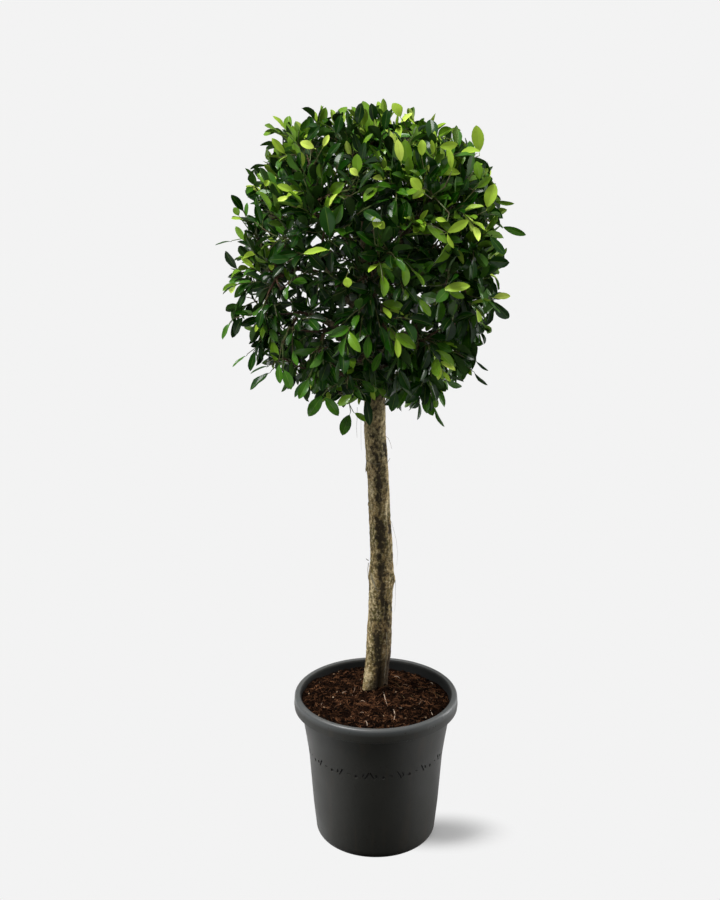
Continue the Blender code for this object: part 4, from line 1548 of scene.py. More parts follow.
def pulled_in(direction):
    """By what share the outline falls short of the globe at a place."""
    total = 0.0
    for azimuth, elevation, half_angle, depth in DENTED_SPOTS:
        away = direction.angle(direction_of(azimuth, elevation)) / radians(half_angle)
        total += depth * max(0.0, 1.0 - away * away)
    return total


def shoot_path(spot, heading, length, lift):
    """A shoot that bends little by little, up or down."""
    path = [spot]
    for _ in range(SHOOT_STEPS):
        heading = (heading + UP * lift).normalized()
        path.append(path[-1] + heading * (length / SHOOT_STEPS))
    return path


def grow_shoot(spot, heading, outward, length, limit):
    """The longest shoot from a spot that stays inside the crown, or None."""
    lift = SHOOT_LIFT if outward.z > DROOPS_BELOW else -SHOOT_DROOP
    for shrink in SHOOT_SHRINKS:
        path = shoot_path(spot, heading, length * shrink, lift)
        if reach_of(path[-1]) < limit and path[-1].z > CROWN_FOOT + SHOOT_FOOT_CLEAR:
            return path
    return None


def spiral_heading(along, across, turn, lean, pull):
    """A direction that leans off a limb, turned round it, and is then pulled another way."""
    spoke = across * cos(turn) + along.cross(across) * sin(turn)
    return (along * cos(lean) + spoke * sin(lean) + pull).normalized()


def plan_shoots(rng):
    """Shoots as (path, outward direction at the tip)."""
    shoots = []
    for mass in MASSES:
        for number, (start, end, _, _) in enumerate(mass["twigs"]):
            if number == 0:
                continue
            along = (end - start).normalized()
            across = along.orthogonal().normalized()
            count = max(2, round(SHOOTY_SHARE * (end - start).length / SHOOT_SPACING))
            turn = rng.uniform(0, 2 * pi)
            for i in range(count + 1):
                spot = start.lerp(end, 1.0 - SHOOTY_SHARE * i / count)
                outward = (spot - CROWN_CENTRE).normalized()
                limit = rng.uniform(*SHOOT_REACH) + REACH_LUMPS * noise.noise(outward * LUMP_SCALE)
                limit += (FREE_REACH if rng.random() < FREE_SHARE else 0.0) - pulled_in(outward)
                length = rng.uniform(*SHOOT_LENGTHS)
                if rng.random() < share_left_out(outward):
                    continue
                for attempt in range(SHOOT_TRIES):
                    turn += GOLDEN_ANGLE
                    lean = SHOOT_SPREAD * rng.uniform(*SPREAD_JITTER) if i or attempt else END_LEAN
                    heading = spiral_heading(along, across, turn, lean, outward * SHOOT_OUTWARD)
                    path = grow_shoot(spot, heading, outward, length, limit)
                    if path is not None:
                        shoots.append((path, (path[-1] - CROWN_CENTRE).normalized()))
                        break
    return shoots


SHOOTS = plan_shoots(random.Random(SHOOT_SEED))
print("shoots:", len(SHOOTS))

# %% Fill the bare places
# (reach, places looked at, how near the next shoot's tip may be)
FILL_SHELLS = ((0.9, 520, 0.026), (0.68, 200, 0.042), (0.48, 70, 0.056))
FILL_LONGEST = 0.11
FORK_SHARES = (0.3, 0.6, 0.9)
FILL_JITTER = (0.92, 1.02)
FILL_FOOT_CLEAR = 0.05
FILL_STEPS = 5
FILL_BOW = 0.12


def distances_to(spot, points):
    """How far each of many points lies from a spot."""
    return np.linalg.norm(np.asarray(points) - np.array(spot), axis=1)


def fill_bare_places(shoots, rng):
    """Longer shoots from the nearest twig to places that no shoot comes near."""
    twigs = [twig for mass in MASSES for twig in mass["twigs"][1:]]
    forks = [start.lerp(end, share) for start, end, _, _ in twigs for share in FORK_SHARES]
    fork_array = np.array(forks)
    tips = [tuple(path[-1]) for path, _ in shoots]
    filled = []
    for reach, count, gap in FILL_SHELLS:
        for direction in spread_directions(count):
            lump = REACH_LUMPS * noise.noise(direction * LUMP_SCALE) - pulled_in(direction)
            spot = in_crown(direction, reach * rng.uniform(*FILL_JITTER) + lump)
            if distances_to(spot, tips).min() < gap:
                continue
            if spot.z < CROWN_FOOT + FILL_FOOT_CLEAR or rng.random() < share_left_out(direction):
                continue
            distances = distances_to(spot, fork_array)
            start = forks[int(distances.argmin())]
            if distances.min() > FILL_LONGEST or not twig_is_clear(start, spot, SHOOT_RADII[0]):
                continue
            bow = UP * (FILL_BOW * (spot - start).length)
            shares = [k / FILL_STEPS for k in range(FILL_STEPS + 1)]
            path = [start.lerp(spot, share) + bow * sin(pi * share) for share in shares]
            filled.append((path, direction))
            tips.append(tuple(spot))
    return filled


SHOOTS += fill_bare_places(SHOOTS, random.Random(SHOOT_SEED))
print("with the fills:", len(SHOOTS))

# %% [markdown]
# A few shoots have grown past the clipped globe, and some leaves catch the eye: a tall one at the upper
# right, a pale rosette in the middle, single leaves that hang below. They give this plant its own face, so
# they are placed one by one. Each is named by where its middle shows, to the right of and above the crown's
# centre as the viewer sees it, and by how it leans. A sight line from the viewer finds its place on the
# globe.

# %% Where the viewer stands
CAMERA_PLACE = Vector((-0.033, -2.986, 1.84))
CAMERA_PITCH = radians(18.32)
VIEW_RIGHT = Vector((1, 0, 0))
VIEW_UP = Vector((0, sin(CAMERA_PITCH), cos(CAMERA_PITCH)))
SIGHT_REACH = 1.0
SIGHT_STEP = 0.004
SIGHT_STEPS = (-90, 40)


def on_the_globe(right, up):
    """Where a sight line through (right, up) first meets the crown, or passes beside its centre."""
    aim = CROWN_CENTRE + VIEW_RIGHT * right + VIEW_UP * up
    sight = (aim - CAMERA_PLACE).normalized()
    distance = (aim - CAMERA_PLACE).length
    nearest = None
    for step in range(*SIGHT_STEPS):
        spot = CAMERA_PLACE + sight * (distance + step * SIGHT_STEP)
        reach = reach_of(spot)
        if reach < SIGHT_REACH:
            return spot
        if nearest is None or reach < nearest[0]:
            nearest = (reach, spot)
    return nearest[1]


print("middle of the crown's front:", [round(v, 3) for v in on_the_globe(0, 0)])

# %% Leaves that are placed one by one
# (right, up, lean in degrees from the right, length, width as a share, kind of green, turn about its axis)
SHOWN_LEAVES = (
    (0.205, 0.235, 95, 0.05, 0.47, 4, 0), (0.05, 0.29, 118, 0.03, 0.72, 4, 10),
    (0.03, 0.272, 80, 0.038, 0.42, 1, 0), (0.004, 0.284, 98, 0.036, 0.48, 0, 10),
    (-0.02, 0.282, 80, 0.04, 0.46, 0, -10), (-0.06, 0.262, 75, 0.036, 0.44, 1, 0),
    (-0.11, 0.245, 52, 0.034, 0.46, 1, 0), (-0.125, 0.262, 50, 0.028, 0.48, 2, 15),
    (-0.174, 0.267, 128, 0.034, 0.36, 4, 20), (-0.121, 0.223, 155, 0.028, 0.55, 5, 0),
    (-0.085, 0.231, 66, 0.024, 0.42, 5, 0), (0.055, 0.212, 98, 0.04, 0.4, 5, 0),
    (0.098, 0.218, 90, 0.03, 0.52, 4, 0), (0.15, 0.221, 8, 0.034, 0.46, 4, 10),
    (0.153, 0.196, 95, 0.034, 0.34, 4, 0), (-0.032, 0.171, 140, 0.019, 0.66, 5, 0),
    (-0.025, 0.187, 88, 0.036, 0.5, 3, 0), (-0.048, 0.161, 128, 0.042, 0.26, 0, 20),
    (-0.008, 0.16, 58, 0.046, 0.3, 0, -20), (0.087, 0.148, 130, 0.03, 0.6, 4, 0),
    (0.013, 0.076, 60, 0.022, 0.9, 4, 0), (0.02, 0.07, -40, 0.018, 0.8, 4, 0),
    (0.229, 0.127, 75, 0.046, 0.5, 4, 0), (0.168, 0.067, 28, 0.044, 0.38, 4, 10),
    (0.152, 0.038, -68, 0.028, 0.34, 4, 20), (0.134, 0.08, 165, 0.019, 0.5, 4, 0),
    (-0.106, 0.021, 184, 0.045, 0.3, 4, 10), (-0.044, -0.04, -80, 0.019, 0.85, 4, 0),
    (0.165, -0.049, 10, 0.05, 0.36, 4, 0), (0.165, -0.064, -18, 0.03, 0.42, 3, 0),
    (0.252, -0.066, 8, 0.032, 0.42, 5, 0), (-0.256, 0.096, 120, 0.018, 0.7, 3, 0),
    (-0.256, 0.082, 175, 0.02, 0.4, 4, 10), (-0.198, 0.15, 60, 0.013, 0.8, 4, 0),
    (-0.082, 0.078, 98, 0.056, 0.5, 1, 0), (0.205, 0.175, 100, 0.034, 0.48, 3, 0),
    (0.217, 0.152, 40, 0.034, 0.4, 3, 15), (0.245, 0.0, -4, 0.04, 0.56, 1, 15),
    (0.242, 0.03, -52, 0.044, 0.34, 1, 0), (-0.048, -0.312, -112, 0.044, 0.5, 2, 0),
    (-0.106, -0.276, -124, 0.048, 0.48, 2, 0), (-0.073, -0.277, -52, 0.044, 0.44, 2, 0),
    (0.129, -0.299, -72, 0.044, 0.22, 2, 25), (-0.127, -0.244, -115, 0.042, 0.4, 2, 0),
    (-0.135, -0.242, -127, 0.04, 0.3, 1, 10), (-0.157, -0.226, -68, 0.039, 0.48, 2, 0),
    (-0.173, -0.215, -85, 0.036, 0.4, 2, 10), (-0.018, -0.296, -32, 0.028, 0.42, 3, 0),
    (-0.004, -0.289, -80, 0.05, 0.34, 0, 0), (-0.049, -0.265, -140, 0.032, 0.5, 3, 0),
    (0.044, -0.268, -105, 0.038, 0.5, 1, 0), (-0.213, -0.228, -140, 0.05, 0.34, 1, 15),
    (-0.215, -0.205, -162, 0.036, 0.2, 1, 25), (-0.252, -0.19, -142, 0.034, 0.24, 2, 20),
    (-0.283, 0.036, -168, 0.03, 0.24, 1, 25), (-0.273, -0.053, -150, 0.028, 0.24, 0, 25),
    (0.21, -0.226, -48, 0.036, 0.24, 1, 25), (0.213, -0.2, -40, 0.03, 0.22, 1, 25),
    (0.256, 0.112, -8, 0.038, 0.24, 3, 20), (0.275, 0.058, -20, 0.047, 0.3, 2, 10),
)
FORWARD_TILT = 0.22
FACE_UP = 0.35
CARRIER_RADIUS = 0.0011
CARRIER_BEND = 0.6
CARRIER_BACK = 0.2
CARRIER_HALF = 0.55
STALK_SHARE = 0.13


def shown_leaf(right, up, lean, length, turn):
    """Root, axis and normal of a leaf placed one by one, its face to the viewer."""
    angle = radians(lean)
    axis = VIEW_RIGHT * cos(angle) + VIEW_UP * sin(angle)
    middle = on_the_globe(right, up)
    toward = (CAMERA_PLACE - middle).normalized()
    axis = (axis + toward * FORWARD_TILT).normalized()
    normal = (toward + UP * FACE_UP).normalized()
    normal = (normal - axis * normal.dot(axis)).normalized()
    normal.rotate(Matrix.Rotation(radians(2 * turn), 3, axis))
    root = middle - axis * ((0.5 + STALK_SHARE) * length)
    return root, axis, normal


def carrier(root, axis):
    """A thin shoot from the nearest twig's end to a shown leaf's root."""
    ends = [twig[1] for mass in MASSES for twig in mass["twigs"][1:]]
    start = min(ends, key=lambda end: (end - root).length)
    bend = start.lerp(root, CARRIER_BEND) - axis * (CARRIER_BACK * (root - start).length)
    return [start, start.lerp(bend, CARRIER_HALF), bend, bend.lerp(root, CARRIER_HALF), root]


SHOWN = [(shown_leaf(right, up, lean, length, turn), (length, width, green))
         for right, up, lean, length, width, green, turn in SHOWN_LEAVES]
CARRIERS = [carrier(place[0], place[1]) for place, _ in SHOWN]
print("longest carrier:", round(max((path[-1] - path[0]).length for path in CARRIERS), 3))

# %% [markdown]
# ## Twigs and shoots in wood
#
# The woody twigs are brown and the shoots of this year are green, each ending in the pointed sheath of its
# next leaf. Each kind is one joined mesh of tapering tubes with few sides, sunk into what bears them.

# %% Make the twigs and the shoots
STEM_SIDES = 8
TWIG_SIDES = 6
SHOOT_SIDES = 5
ROOT_SINK = 0.004
TWIG_SAG = 0.05
TWIG_STEPS = 4
TWIG_TAPER = 0.8
SHEATH_LENGTH = 0.01
SHEATH_SINK = 0.002
SHEATH_WIDEST = 0.35
SHEATH_RADII = (0.7 * 0.0011, 0.0011, 0.1 * 0.0011)
ALL_MASSES = [f"foliage_{mass['name']}" for mass in MASSES]


def sunk(path):
    """The same path with its root moved back into what bears it."""
    back = (path[0] - path[1]).normalized() * ROOT_SINK
    return [path[0] + back] + path[1:]


def twig_curve(start, end):
    """A twig's straight line with a slight bow, so that no twig is a rod."""
    bow = (end - start).orthogonal().normalized() * (TWIG_SAG * (end - start).length)
    shares = [k / TWIG_STEPS for k in range(TWIG_STEPS + 1)]
    return [start.lerp(end, share) + bow * sin(pi * share) for share in shares]


def twig_heap():
    heap = Heap()
    for mass in MASSES:
        for number, (start, end, start_radius, end_radius) in enumerate(mass["twigs"]):
            path = twig_curve(start, end) if number > 1 else [start, start.lerp(end, 0.5), end]
            radii = np.linspace(start_radius, end_radius * TWIG_TAPER, len(path))
            heap.add(*tube(sunk(path), radii, TWIG_SIDES if number > 1 else STEM_SIDES))
    return heap


def sheath(heap, tip, along):
    """The pointed sheath of the next leaf, at a shoot's tip."""
    path = [tip + along * way for way in (-SHEATH_SINK, SHEATH_WIDEST * SHEATH_LENGTH, SHEATH_LENGTH)]
    heap.add(*tube(path, SHEATH_RADII, SHOOT_SIDES))


def shoot_heap():
    heap = Heap()
    for path, _ in SHOOTS:
        heap.add(*tube(sunk(path), np.linspace(*SHOOT_RADII, len(path)), SHOOT_SIDES))
        sheath(heap, path[-1], (path[-1] - path[-2]).normalized())
    for path in CARRIERS:
        radii = np.linspace(1.3 * CARRIER_RADIUS, 0.7 * CARRIER_RADIUS, len(path))
        heap.add(*tube(sunk(path), radii, SHOOT_SIDES))
    return heap


TWIG_BROWN = (0.04, 0.024, 0.014)
TWIG_RED = (0.115, 0.062, 0.034)
SHOOT_BROWN = (0.075, 0.055, 0.022)
SHOOT_GREEN = (0.12, 0.17, 0.045)
TWIG_PATCHES = (70.0, 0.4, 0.6)
TWIG_GRAIN = (900.0, 0.5, 0.0003)


def twig_material(name, first, second, roughness):
    material, tree, shader, place = new_material(name, Roughness=roughness, Specular_IOR_Level=0.35)
    patches = blotches(tree, place, *TWIG_PATCHES)
    tree.links.new(mix_colours(tree, patches, first, second), shader.inputs["Base Color"])
    add_grain(tree, shader, place, *TWIG_GRAIN)
    return material


twigs = twig_heap().make()
shade(twigs, 70)
finish_piece(twigs, "twigs", [twig_material("twig_bark", TWIG_BROWN, TWIG_RED, 0.8)], ALL_MASSES)
shoots = shoot_heap().make()
shade(shoots, 70)
green_bark = twig_material("green_shoots", SHOOT_BROWN, SHOOT_GREEN, 0.55)
finish_piece(shoots, "shoots", [green_bark], ALL_MASSES)

# %% [markdown]
# ## One leaf
#
# A leaf of this laurel fig is 3 to 5 cm long, leathery and pointed-oval, widest in its middle. It is folded a
# little along the midrib and curls down at the tip. Its upper side is dark and glossy, the underside paler
# and matt. An alpha picture on a card would look flat and lose its outline, so each leaf is a thin closed
# body: an upper skin in three strips, the middle one the midrib, a lower skin with a keel, and a stalk. It
# has 43 faces, few enough to be repeated thousands of times.

# %% The leaf's template
LEAF_STATIONS = (0.09, 0.25, 0.43, 0.61, 0.78, 0.91)
RIB_SHARE = 0.055
BASE_POWER = 0.86
TIP_POWER = 0.76
STALK_SIDES = 3
STALK_RINGS = 3
BLADE, RIB, UNDER = 0, 1, 2


def leaf_width(share):
    """Half width along the leaf, 1 at the widest: a wedge at the base, blunter at the tip."""
    peak = BASE_POWER / (BASE_POWER + TIP_POWER)
    return (share / peak) ** BASE_POWER * ((1 - share) / (1 - peak)) ** TIP_POWER


def leaf_faces():
    """Faces and their material kinds. Points: base, five a station, tip, then the stalk's rings."""
    tip = 1 + 5 * len(LEAF_STATIONS)
    rows = [[0] * 5, *(range(first, first + 5) for first in range(1, tip, 5)), [tip] * 5]
    faces = []
    kinds = []
    for row, ahead in zip(rows, rows[1:]):
        for a, kind in enumerate((BLADE, RIB, BLADE, UNDER, UNDER)):
            b = (a + 1) % 5
            corners = (row[a], row[b], ahead[b], ahead[a])
            if kind == UNDER:
                corners = corners[1:] + corners[:1]
            # At the base and the tip two corners are one.
            faces.append(tuple(dict.fromkeys(corners)))
            kinds.append(kind)
    stalk = range(tip + 1, tip + 1 + STALK_SIDES * STALK_RINGS)
    rings = [stalk[first:first + STALK_SIDES] for first in range(0, len(stalk), STALK_SIDES)]
    for ring, ahead in zip(rings, rings[1:]):
        for a in range(STALK_SIDES):
            b = (a + 1) % STALK_SIDES
            faces.append((ring[a], ring[b], ahead[b], ahead[a]))
    faces += [tuple(reversed(rings[0])), tuple(rings[-1])]
    kinds += [RIB] * (len(faces) - len(kinds))
    return faces, kinds


LEAF_FACES, LEAF_KINDS = leaf_faces()
print("faces a leaf:", len(LEAF_FACES))

# %% One leaf in place
LEAF_THICKNESS = 0.0006
KEEL_DEPTH = 0.0006
STALK_RADIUS = 0.0007
STALK_SWELLS = (1.2, 0.9, 0.6)
STALK_SAG = 0.03
STALK_REACH = 0.06
WAVES = 1.4
CURL_SHORTENS = 0.35


def leaf_points(leaf):
    """The points of one leaf from its record: root, axis, normal, length, width, fold, curl, bend, wave."""
    axis, normal, length = leaf["axis"], leaf["normal"], leaf["length"]
    side = axis.cross(normal)
    half_width = leaf["width"] * length / 2
    base = leaf["root"] + leaf["stalk"] * (STALK_SHARE * length)

    def place(across, share, layer):
        """across from -1 to 1 of the leaf's width there, share of its length, layer above the middle."""
        width = leaf_width(share) * half_width if 0 < share < 1 else 0.0
        rise = leaf["fold"] * abs(across) * width - leaf["curl"] * length * share**2
        rise += leaf["wave"] * abs(across) * width * sin(2 * pi * (WAVES * share + leaf["phase"]))
        sideways = across * width + leaf["bend"] * length * share**2
        along = share * (1 - CURL_SHORTENS * leaf["curl"] * share)
        return base + axis * (along * length) + side * sideways + normal * (rise + layer)

    points = [place(0, 0, 0)]
    for share in LEAF_STATIONS:
        points.append(place(-1, share, 0))
        points.append(place(-RIB_SHARE, share, LEAF_THICKNESS / 2))
        points.append(place(RIB_SHARE, share, LEAF_THICKNESS / 2))
        points.append(place(1, share, 0))
        points.append(place(0, share, -LEAF_THICKNESS / 2 - KEEL_DEPTH * (1 - share)))
    points.append(place(0, 1, 0))
    elbow = leaf["root"].lerp(base, 0.5) - normal * (STALK_SAG * length)
    reach = base + axis * (STALK_REACH * length)
    for spot, radius in zip((leaf["root"], elbow, reach), STALK_SWELLS):
        for s in range(STALK_SIDES):
            angle = 2 * pi * s / STALK_SIDES
            ring = side * cos(angle) - normal * sin(angle)
            points.append(spot + ring * (radius * STALK_RADIUS) - normal * LEAF_THICKNESS)
    return points


# %% [markdown]
# ## Dealing leaves out to the shoots
#
# Leaves leave a shoot in a spiral, a golden angle apart, close to the shoot at its tip and wider lower
# down. They turn their upper sides up to the light, and hang more the lower they are in the crown. They are
# a little larger on the right, where the plant grew fastest. Colour is dealt out by spray: a shoot has one
# green, often paler for the leaf at its tip. The paler greens sit mostly at the top, on the right and far
# out, partly as young growth and partly as painted light, and the middle of the front is kept darker as
# painted shade.

# %% Plan the leaves
LEAF_SEED = 23
LEAF_LENGTHS = (0.03, 0.05)
LEAF_WIDTHS = (0.35, 0.48)
LEAF_SPACING = 0.01
LEAFY_SHOOT = 0.85
LEAF_TRIES = 6
LEAF_BEYOND = (0.07, 0.14)
LEAF_GAP = 0.0062
TIP_SPREAD = radians(20)
LEAF_SPREAD = radians(56)
OUTWARD_PULL = 0.25
DROOP = -0.08
DROOP_BELOW = 0.38
LIFT_ABOVE = 0.32
DROOP_JITTER = 0.36
LIGHT_UP = 0.72
LIGHT_OUT = 0.45
LIGHT_JITTER = 0.95
LARGER_RIGHT = 0.13
GREENS = ("deep", "dark", "green", "fresh", "light", "young")
PALE_FROM = GREENS.index("light")
GREEN_START = 1.4
PALER_UP_GROWTH_AND_LIGHT = 1.4
DARKER_DOWN = 0.1
PALER_RIGHT_GROWTH_AND_LIGHT = 0.38
PALER_OUT_GROWTH_AND_LIGHT = 7.5
PALER_FROM = 0.86
GREEN_JITTER = 1.4
FRONT_PAINTED_SHADE = 0.6
GREEN_STEPS = (0, 0, 0, 1, -1)
TIP_PALER = 0.55
OLDER_FROM = 4
YOUNG_SIZE = 0.82
YOUNG_WIDTH = 0.9
YOUNG_FOLD, GROWN_FOLD = (0.35, 0.8), (0.18, 0.8)
YOUNG_CURL, GROWN_CURL = (0.0, 0.1), (0.02, 0.26)
LEAF_BEND = (-0.08, 0.08)
LEAF_WAVE = (0.0, 0.18)
TRY_WIDER = 0.12
LEAF_MIDDLE = 0.55
OFF_LIMBS = 0.25
SHOWN_CLEAR = 0.011
SHOWN_DEPTH = 0.01
BOX_MARGIN = 0.002


def leaf_record(root, heading, outward, length, green, rng):
    """A leaf that leaves its shoot along heading, droops low in the crown and faces the light."""
    droop = DROOP - DROOP_BELOW * max(0.0, -outward.z) + LIFT_ABOVE * max(0.0, outward.z)
    axis = (heading + UP * (droop + rng.uniform(-DROOP_JITTER, DROOP_JITTER))).normalized()
    jitter = Vector((rng.uniform(-1, 1), rng.uniform(-1, 1), rng.uniform(-1, 1)))
    light = UP * LIGHT_UP + outward * LIGHT_OUT + jitter * LIGHT_JITTER
    normal = (light - axis * light.dot(axis)).normalized()
    young = green >= PALE_FROM
    return {
        "root": root,
        "stalk": (heading + axis).normalized(),
        "axis": axis,
        "normal": normal,
        "length": length * (YOUNG_SIZE if young else 1.0),
        "width": rng.uniform(*LEAF_WIDTHS) * (YOUNG_WIDTH if young else 1.0),
        "fold": rng.uniform(*(YOUNG_FOLD if young else GROWN_FOLD)),
        "curl": rng.uniform(*(YOUNG_CURL if young else GROWN_CURL)),
        "bend": rng.uniform(*LEAF_BEND),
        "wave": rng.uniform(*LEAF_WAVE),
        "phase": rng.random(),
        "green": green,
    }


def leaf_tip(leaf):
    return leaf["root"] + (leaf["stalk"] * STALK_SHARE + leaf["axis"]) * leaf["length"]


def in_box(point):
    """True where a point is inside the solid model's box."""
    return all(low + BOX_MARGIN < v < high - BOX_MARGIN for low, v, high in zip(CAD_LOW, point, CAD_HIGH))


SAMPLE_POINTS = np.array([point for point, _ in SAMPLES])
SAMPLE_RADII = np.array([radius for _, radius in SAMPLES])
placed_middles = []
shown_spots = []


def hides_shown_leaf(middle):
    """True where a leaf would stand between the viewer and a leaf placed one by one."""
    sight = np.array(shown_spots) - np.array(CAMERA_PLACE)
    distances = np.linalg.norm(sight, axis=1)
    mine = np.array(middle - CAMERA_PLACE)
    along = sight @ mine / distances
    beside = np.linalg.norm(mine - sight * (along / distances)[:, None], axis=1)
    return bool(((beside < SHOWN_CLEAR) & (along < distances + SHOWN_DEPTH)).any())


def leaf_fits(leaf, limit):
    """True where a leaf stays in the crown, off the limbs and off the leaves around it."""
    tip = leaf_tip(leaf)
    if reach_of(tip) > limit or not in_box(tip):
        return False
    middle = leaf["root"].lerp(tip, LEAF_MIDDLE)
    for spot in (middle, tip):
        distances = distances_to(spot, SAMPLE_POINTS) - SAMPLE_RADII
        if distances.min() < OFF_LIMBS * leaf["width"] * leaf["length"]:
            return False
    if distances_to(middle, placed_middles).min() < LEAF_GAP or hides_shown_leaf(middle):
        return False
    placed_middles.append(tuple(middle))
    return True


def spray_green(outward, reach, rng):
    """The green of a spray, as a place in GREENS: paler high up, to the right and far out, partly young
    growth and partly painted light, and darker in the front's middle as painted shade.
    """
    score = GREEN_START + (PALER_UP_GROWTH_AND_LIGHT if outward.z > 0 else DARKER_DOWN) * outward.z
    score = score + PALER_RIGHT_GROWTH_AND_LIGHT * outward.x + PALER_OUT_GROWTH_AND_LIGHT * (reach - PALER_FROM)
    # The middle of the front gets darker greens, as painted shade.
    score += rng.gauss(0, GREEN_JITTER) - FRONT_PAINTED_SHADE * max(0.0, -outward.y) ** 4
    return min(PALE_FROM, max(0, int(score)))


def leaves_on(path, outward, green, count, limit, rng):
    """Leaves in a spiral along one shoot, from its tip down."""
    leaves = []
    turn = rng.uniform(0, 2 * pi)
    for i in range(count):
        share = 1.0 - LEAFY_SHOOT * i / max(1, count - 1)
        place = share * (len(path) - 1)
        step = min(len(path) - 2, int(place))
        root = path[step].lerp(path[step + 1], place - step)
        along = (path[step + 1] - path[step]).normalized()
        across = along.orthogonal().normalized()
        own = green + rng.choice(GREEN_STEPS)
        own += i == 0 and rng.random() < TIP_PALER
        own -= i >= OLDER_FROM
        own = min(len(GREENS) - 1, max(0, own))
        length = rng.uniform(*LEAF_LENGTHS) * (1 + LARGER_RIGHT * outward.x)
        for attempt in range(LEAF_TRIES):
            turn += GOLDEN_ANGLE
            lean = TIP_SPREAD if i == 0 else LEAF_SPREAD * (0.7 + 0.3 * i / count)
            lean *= 1 + TRY_WIDER * attempt
            heading = spiral_heading(along, across, turn, lean, outward * OUTWARD_PULL)
            leaf = leaf_record(root, heading, outward, length, own, rng)
            if leaf_fits(leaf, limit):
                leaves.append(leaf)
                break
    return leaves


SHOWN_FORMS = (
    ("bend", (-0.04, 0.04)), ("fold", (0.25, 0.55)), ("curl", (0.04, 0.18)), ("wave", (0.05, 0.25))
)
SHOWN_SHARES = (0.3, 0.6, 0.9)


def shown_records(rng):
    """The leaves placed one by one, as records like the others."""
    leaves = []
    for (root, axis, normal), (length, width, green) in SHOWN:
        leaf = leaf_record(root, axis, (root - CROWN_CENTRE).normalized(), length, green, rng)
        leaf.update(axis=axis, normal=normal, stalk=axis, length=length, width=width)
        for key, limits in SHOWN_FORMS:
            leaf[key] = rng.uniform(*limits)
        leaves.append(leaf)
        tip = leaf_tip(leaf)
        placed_middles.append(tuple(root.lerp(tip, LEAF_MIDDLE)))
        shown_spots.extend(tuple(root.lerp(tip, share)) for share in SHOWN_SHARES)
    return leaves


def plan_leaves(rng):
    leaves = shown_records(rng)
    for path, outward in SHOOTS:
        green = spray_green(outward, reach_of(path[-1]) + pulled_in(outward), rng)
        count = max(3, round(LEAFY_SHOOT * (path[-1] - path[0]).length / LEAF_SPACING) + 1)
        limit = reach_of(path[-1]) + rng.uniform(*LEAF_BEYOND)
        leaves += leaves_on(path, outward, green, count, limit, rng)
    return leaves


LEAVES = plan_leaves(random.Random(LEAF_SEED))
print("leaves:", len(LEAVES), [sum(leaf["green"] == i for leaf in LEAVES) for i in range(len(GREENS))])

# %% [markdown]
# ## The greens
#
# The leaf's skin is waxy, so it mirrors the sky as a grey-white sheen while its body stays deep green. A
# thin coat over a darker base gives that. Six greens, each with a blade, a paler midrib and a matt
# underside, are made by one function from one colour each.

# %% Materials of the leaves
LEAF_COLOURS = {
    "deep": (0.0024, 0.027, 0.0005),
    "dark": (0.0072, 0.054, 0.0009),
    "green": (0.05, 0.17, 0.007),
    "fresh": (0.165, 0.335, 0.018),
    "light": (0.385, 0.585, 0.05),
    "young": (0.72, 0.93, 0.14),
}
UNDERSIDE = (0.11, 0.2, 0.05)
RIB_TINT = (0.3, 0.44, 0.085)


BLACK = (0.0, 0.0, 0.0)
# (roughness, coat) of a leaf's parts
BLADE_GLOSS, YOUNG_GLOSS = (0.3, 0.24), (0.45, 0.05)
RIB_GLOSS, UNDER_GLOSS = (0.45, 0.1), (0.62, 0.0)
LEAF_MOTTLE = (46.0, 0.35, 0.68)
LEAF_GRAIN = (240.0, 0.22, 0.0006)


def blend(first, second, share):
    return tuple(a + (b - a) * share for a, b in zip(first, second))


def leaf_materials(green):
    """Blade, midrib and underside of one green."""
    colour = LEAF_COLOURS[green]
    young = GREENS.index(green) >= PALE_FROM
    materials = []
    for part, body, (roughness, coat) in (
        ("blade", colour, YOUNG_GLOSS if young else BLADE_GLOSS),
        ("rib", blend(colour, RIB_TINT, 0.25), RIB_GLOSS),
        ("under", blend(colour, UNDERSIDE, 0.3), UNDER_GLOSS),
    ):
        shine = {"Coat_Weight": coat, "Coat_Roughness": 0.08, "Specular_IOR_Level": 0.13}
        material, tree, shader, place = new_material(f"leaf_{green}_{part}", Roughness=roughness, **shine)
        darker, paler = blend(body, BLACK, 0.2 if young else 0.25), blend(body, RIB_TINT, 0.02)
        tone = mix_colours(tree, blotches(tree, place, *LEAF_MOTTLE), darker, paler)
        tree.links.new(tone, shader.inputs["Base Color"])
        add_grain(tree, shader, place, *LEAF_GRAIN)
        materials.append(material)
    return materials


# %% Make the leaves, one piece for each green
for place, green in enumerate(GREENS):
    heap = Heap()
    for leaf in LEAVES:
        if leaf["green"] == place:
            heap.add(leaf_points(leaf), LEAF_FACES, LEAF_KINDS)
    piece = heap.make()
    shade(piece, sharp_angle=48)
    finish_piece(piece, f"leaves_{green}", leaf_materials(green), ALL_MASSES)

# %% [markdown]
# ## Floor, light and camera
#
# The plant stands on a pale floor in even studio light. The room is brighter above, behind and at the sides
# than in front, which draws out the pot's edges and keeps the leaves' own colour. One broad light from the
# front left makes the soft shadow at the pot's right foot. A lit floor would grade from one side to the
# other, so it glows by itself, and only round the pot is it lit, where the shadow falls.

# %% The floor
PAPER = 0.896
PAPER_LIT = 0.74
BOUNCE_FRONT_SHADE = (0.04, 0.6)
FLOOR_SIZE = 80.0
FLOOR_DEPTH = 0.0005
SHADOW_CENTRE = (0.145, -0.012)
SHADOW_SQUASH = 1.8
SHADOW_INNER = 0.02
SHADOW_OUTER = 0.165


def mix_shaders(tree, share, first, second):
    node = add_node(tree, "MixShader")
    for socket, source in zip(node.inputs, (share, first, second)):
        tree.links.new(source, socket)
    return node.outputs[0]


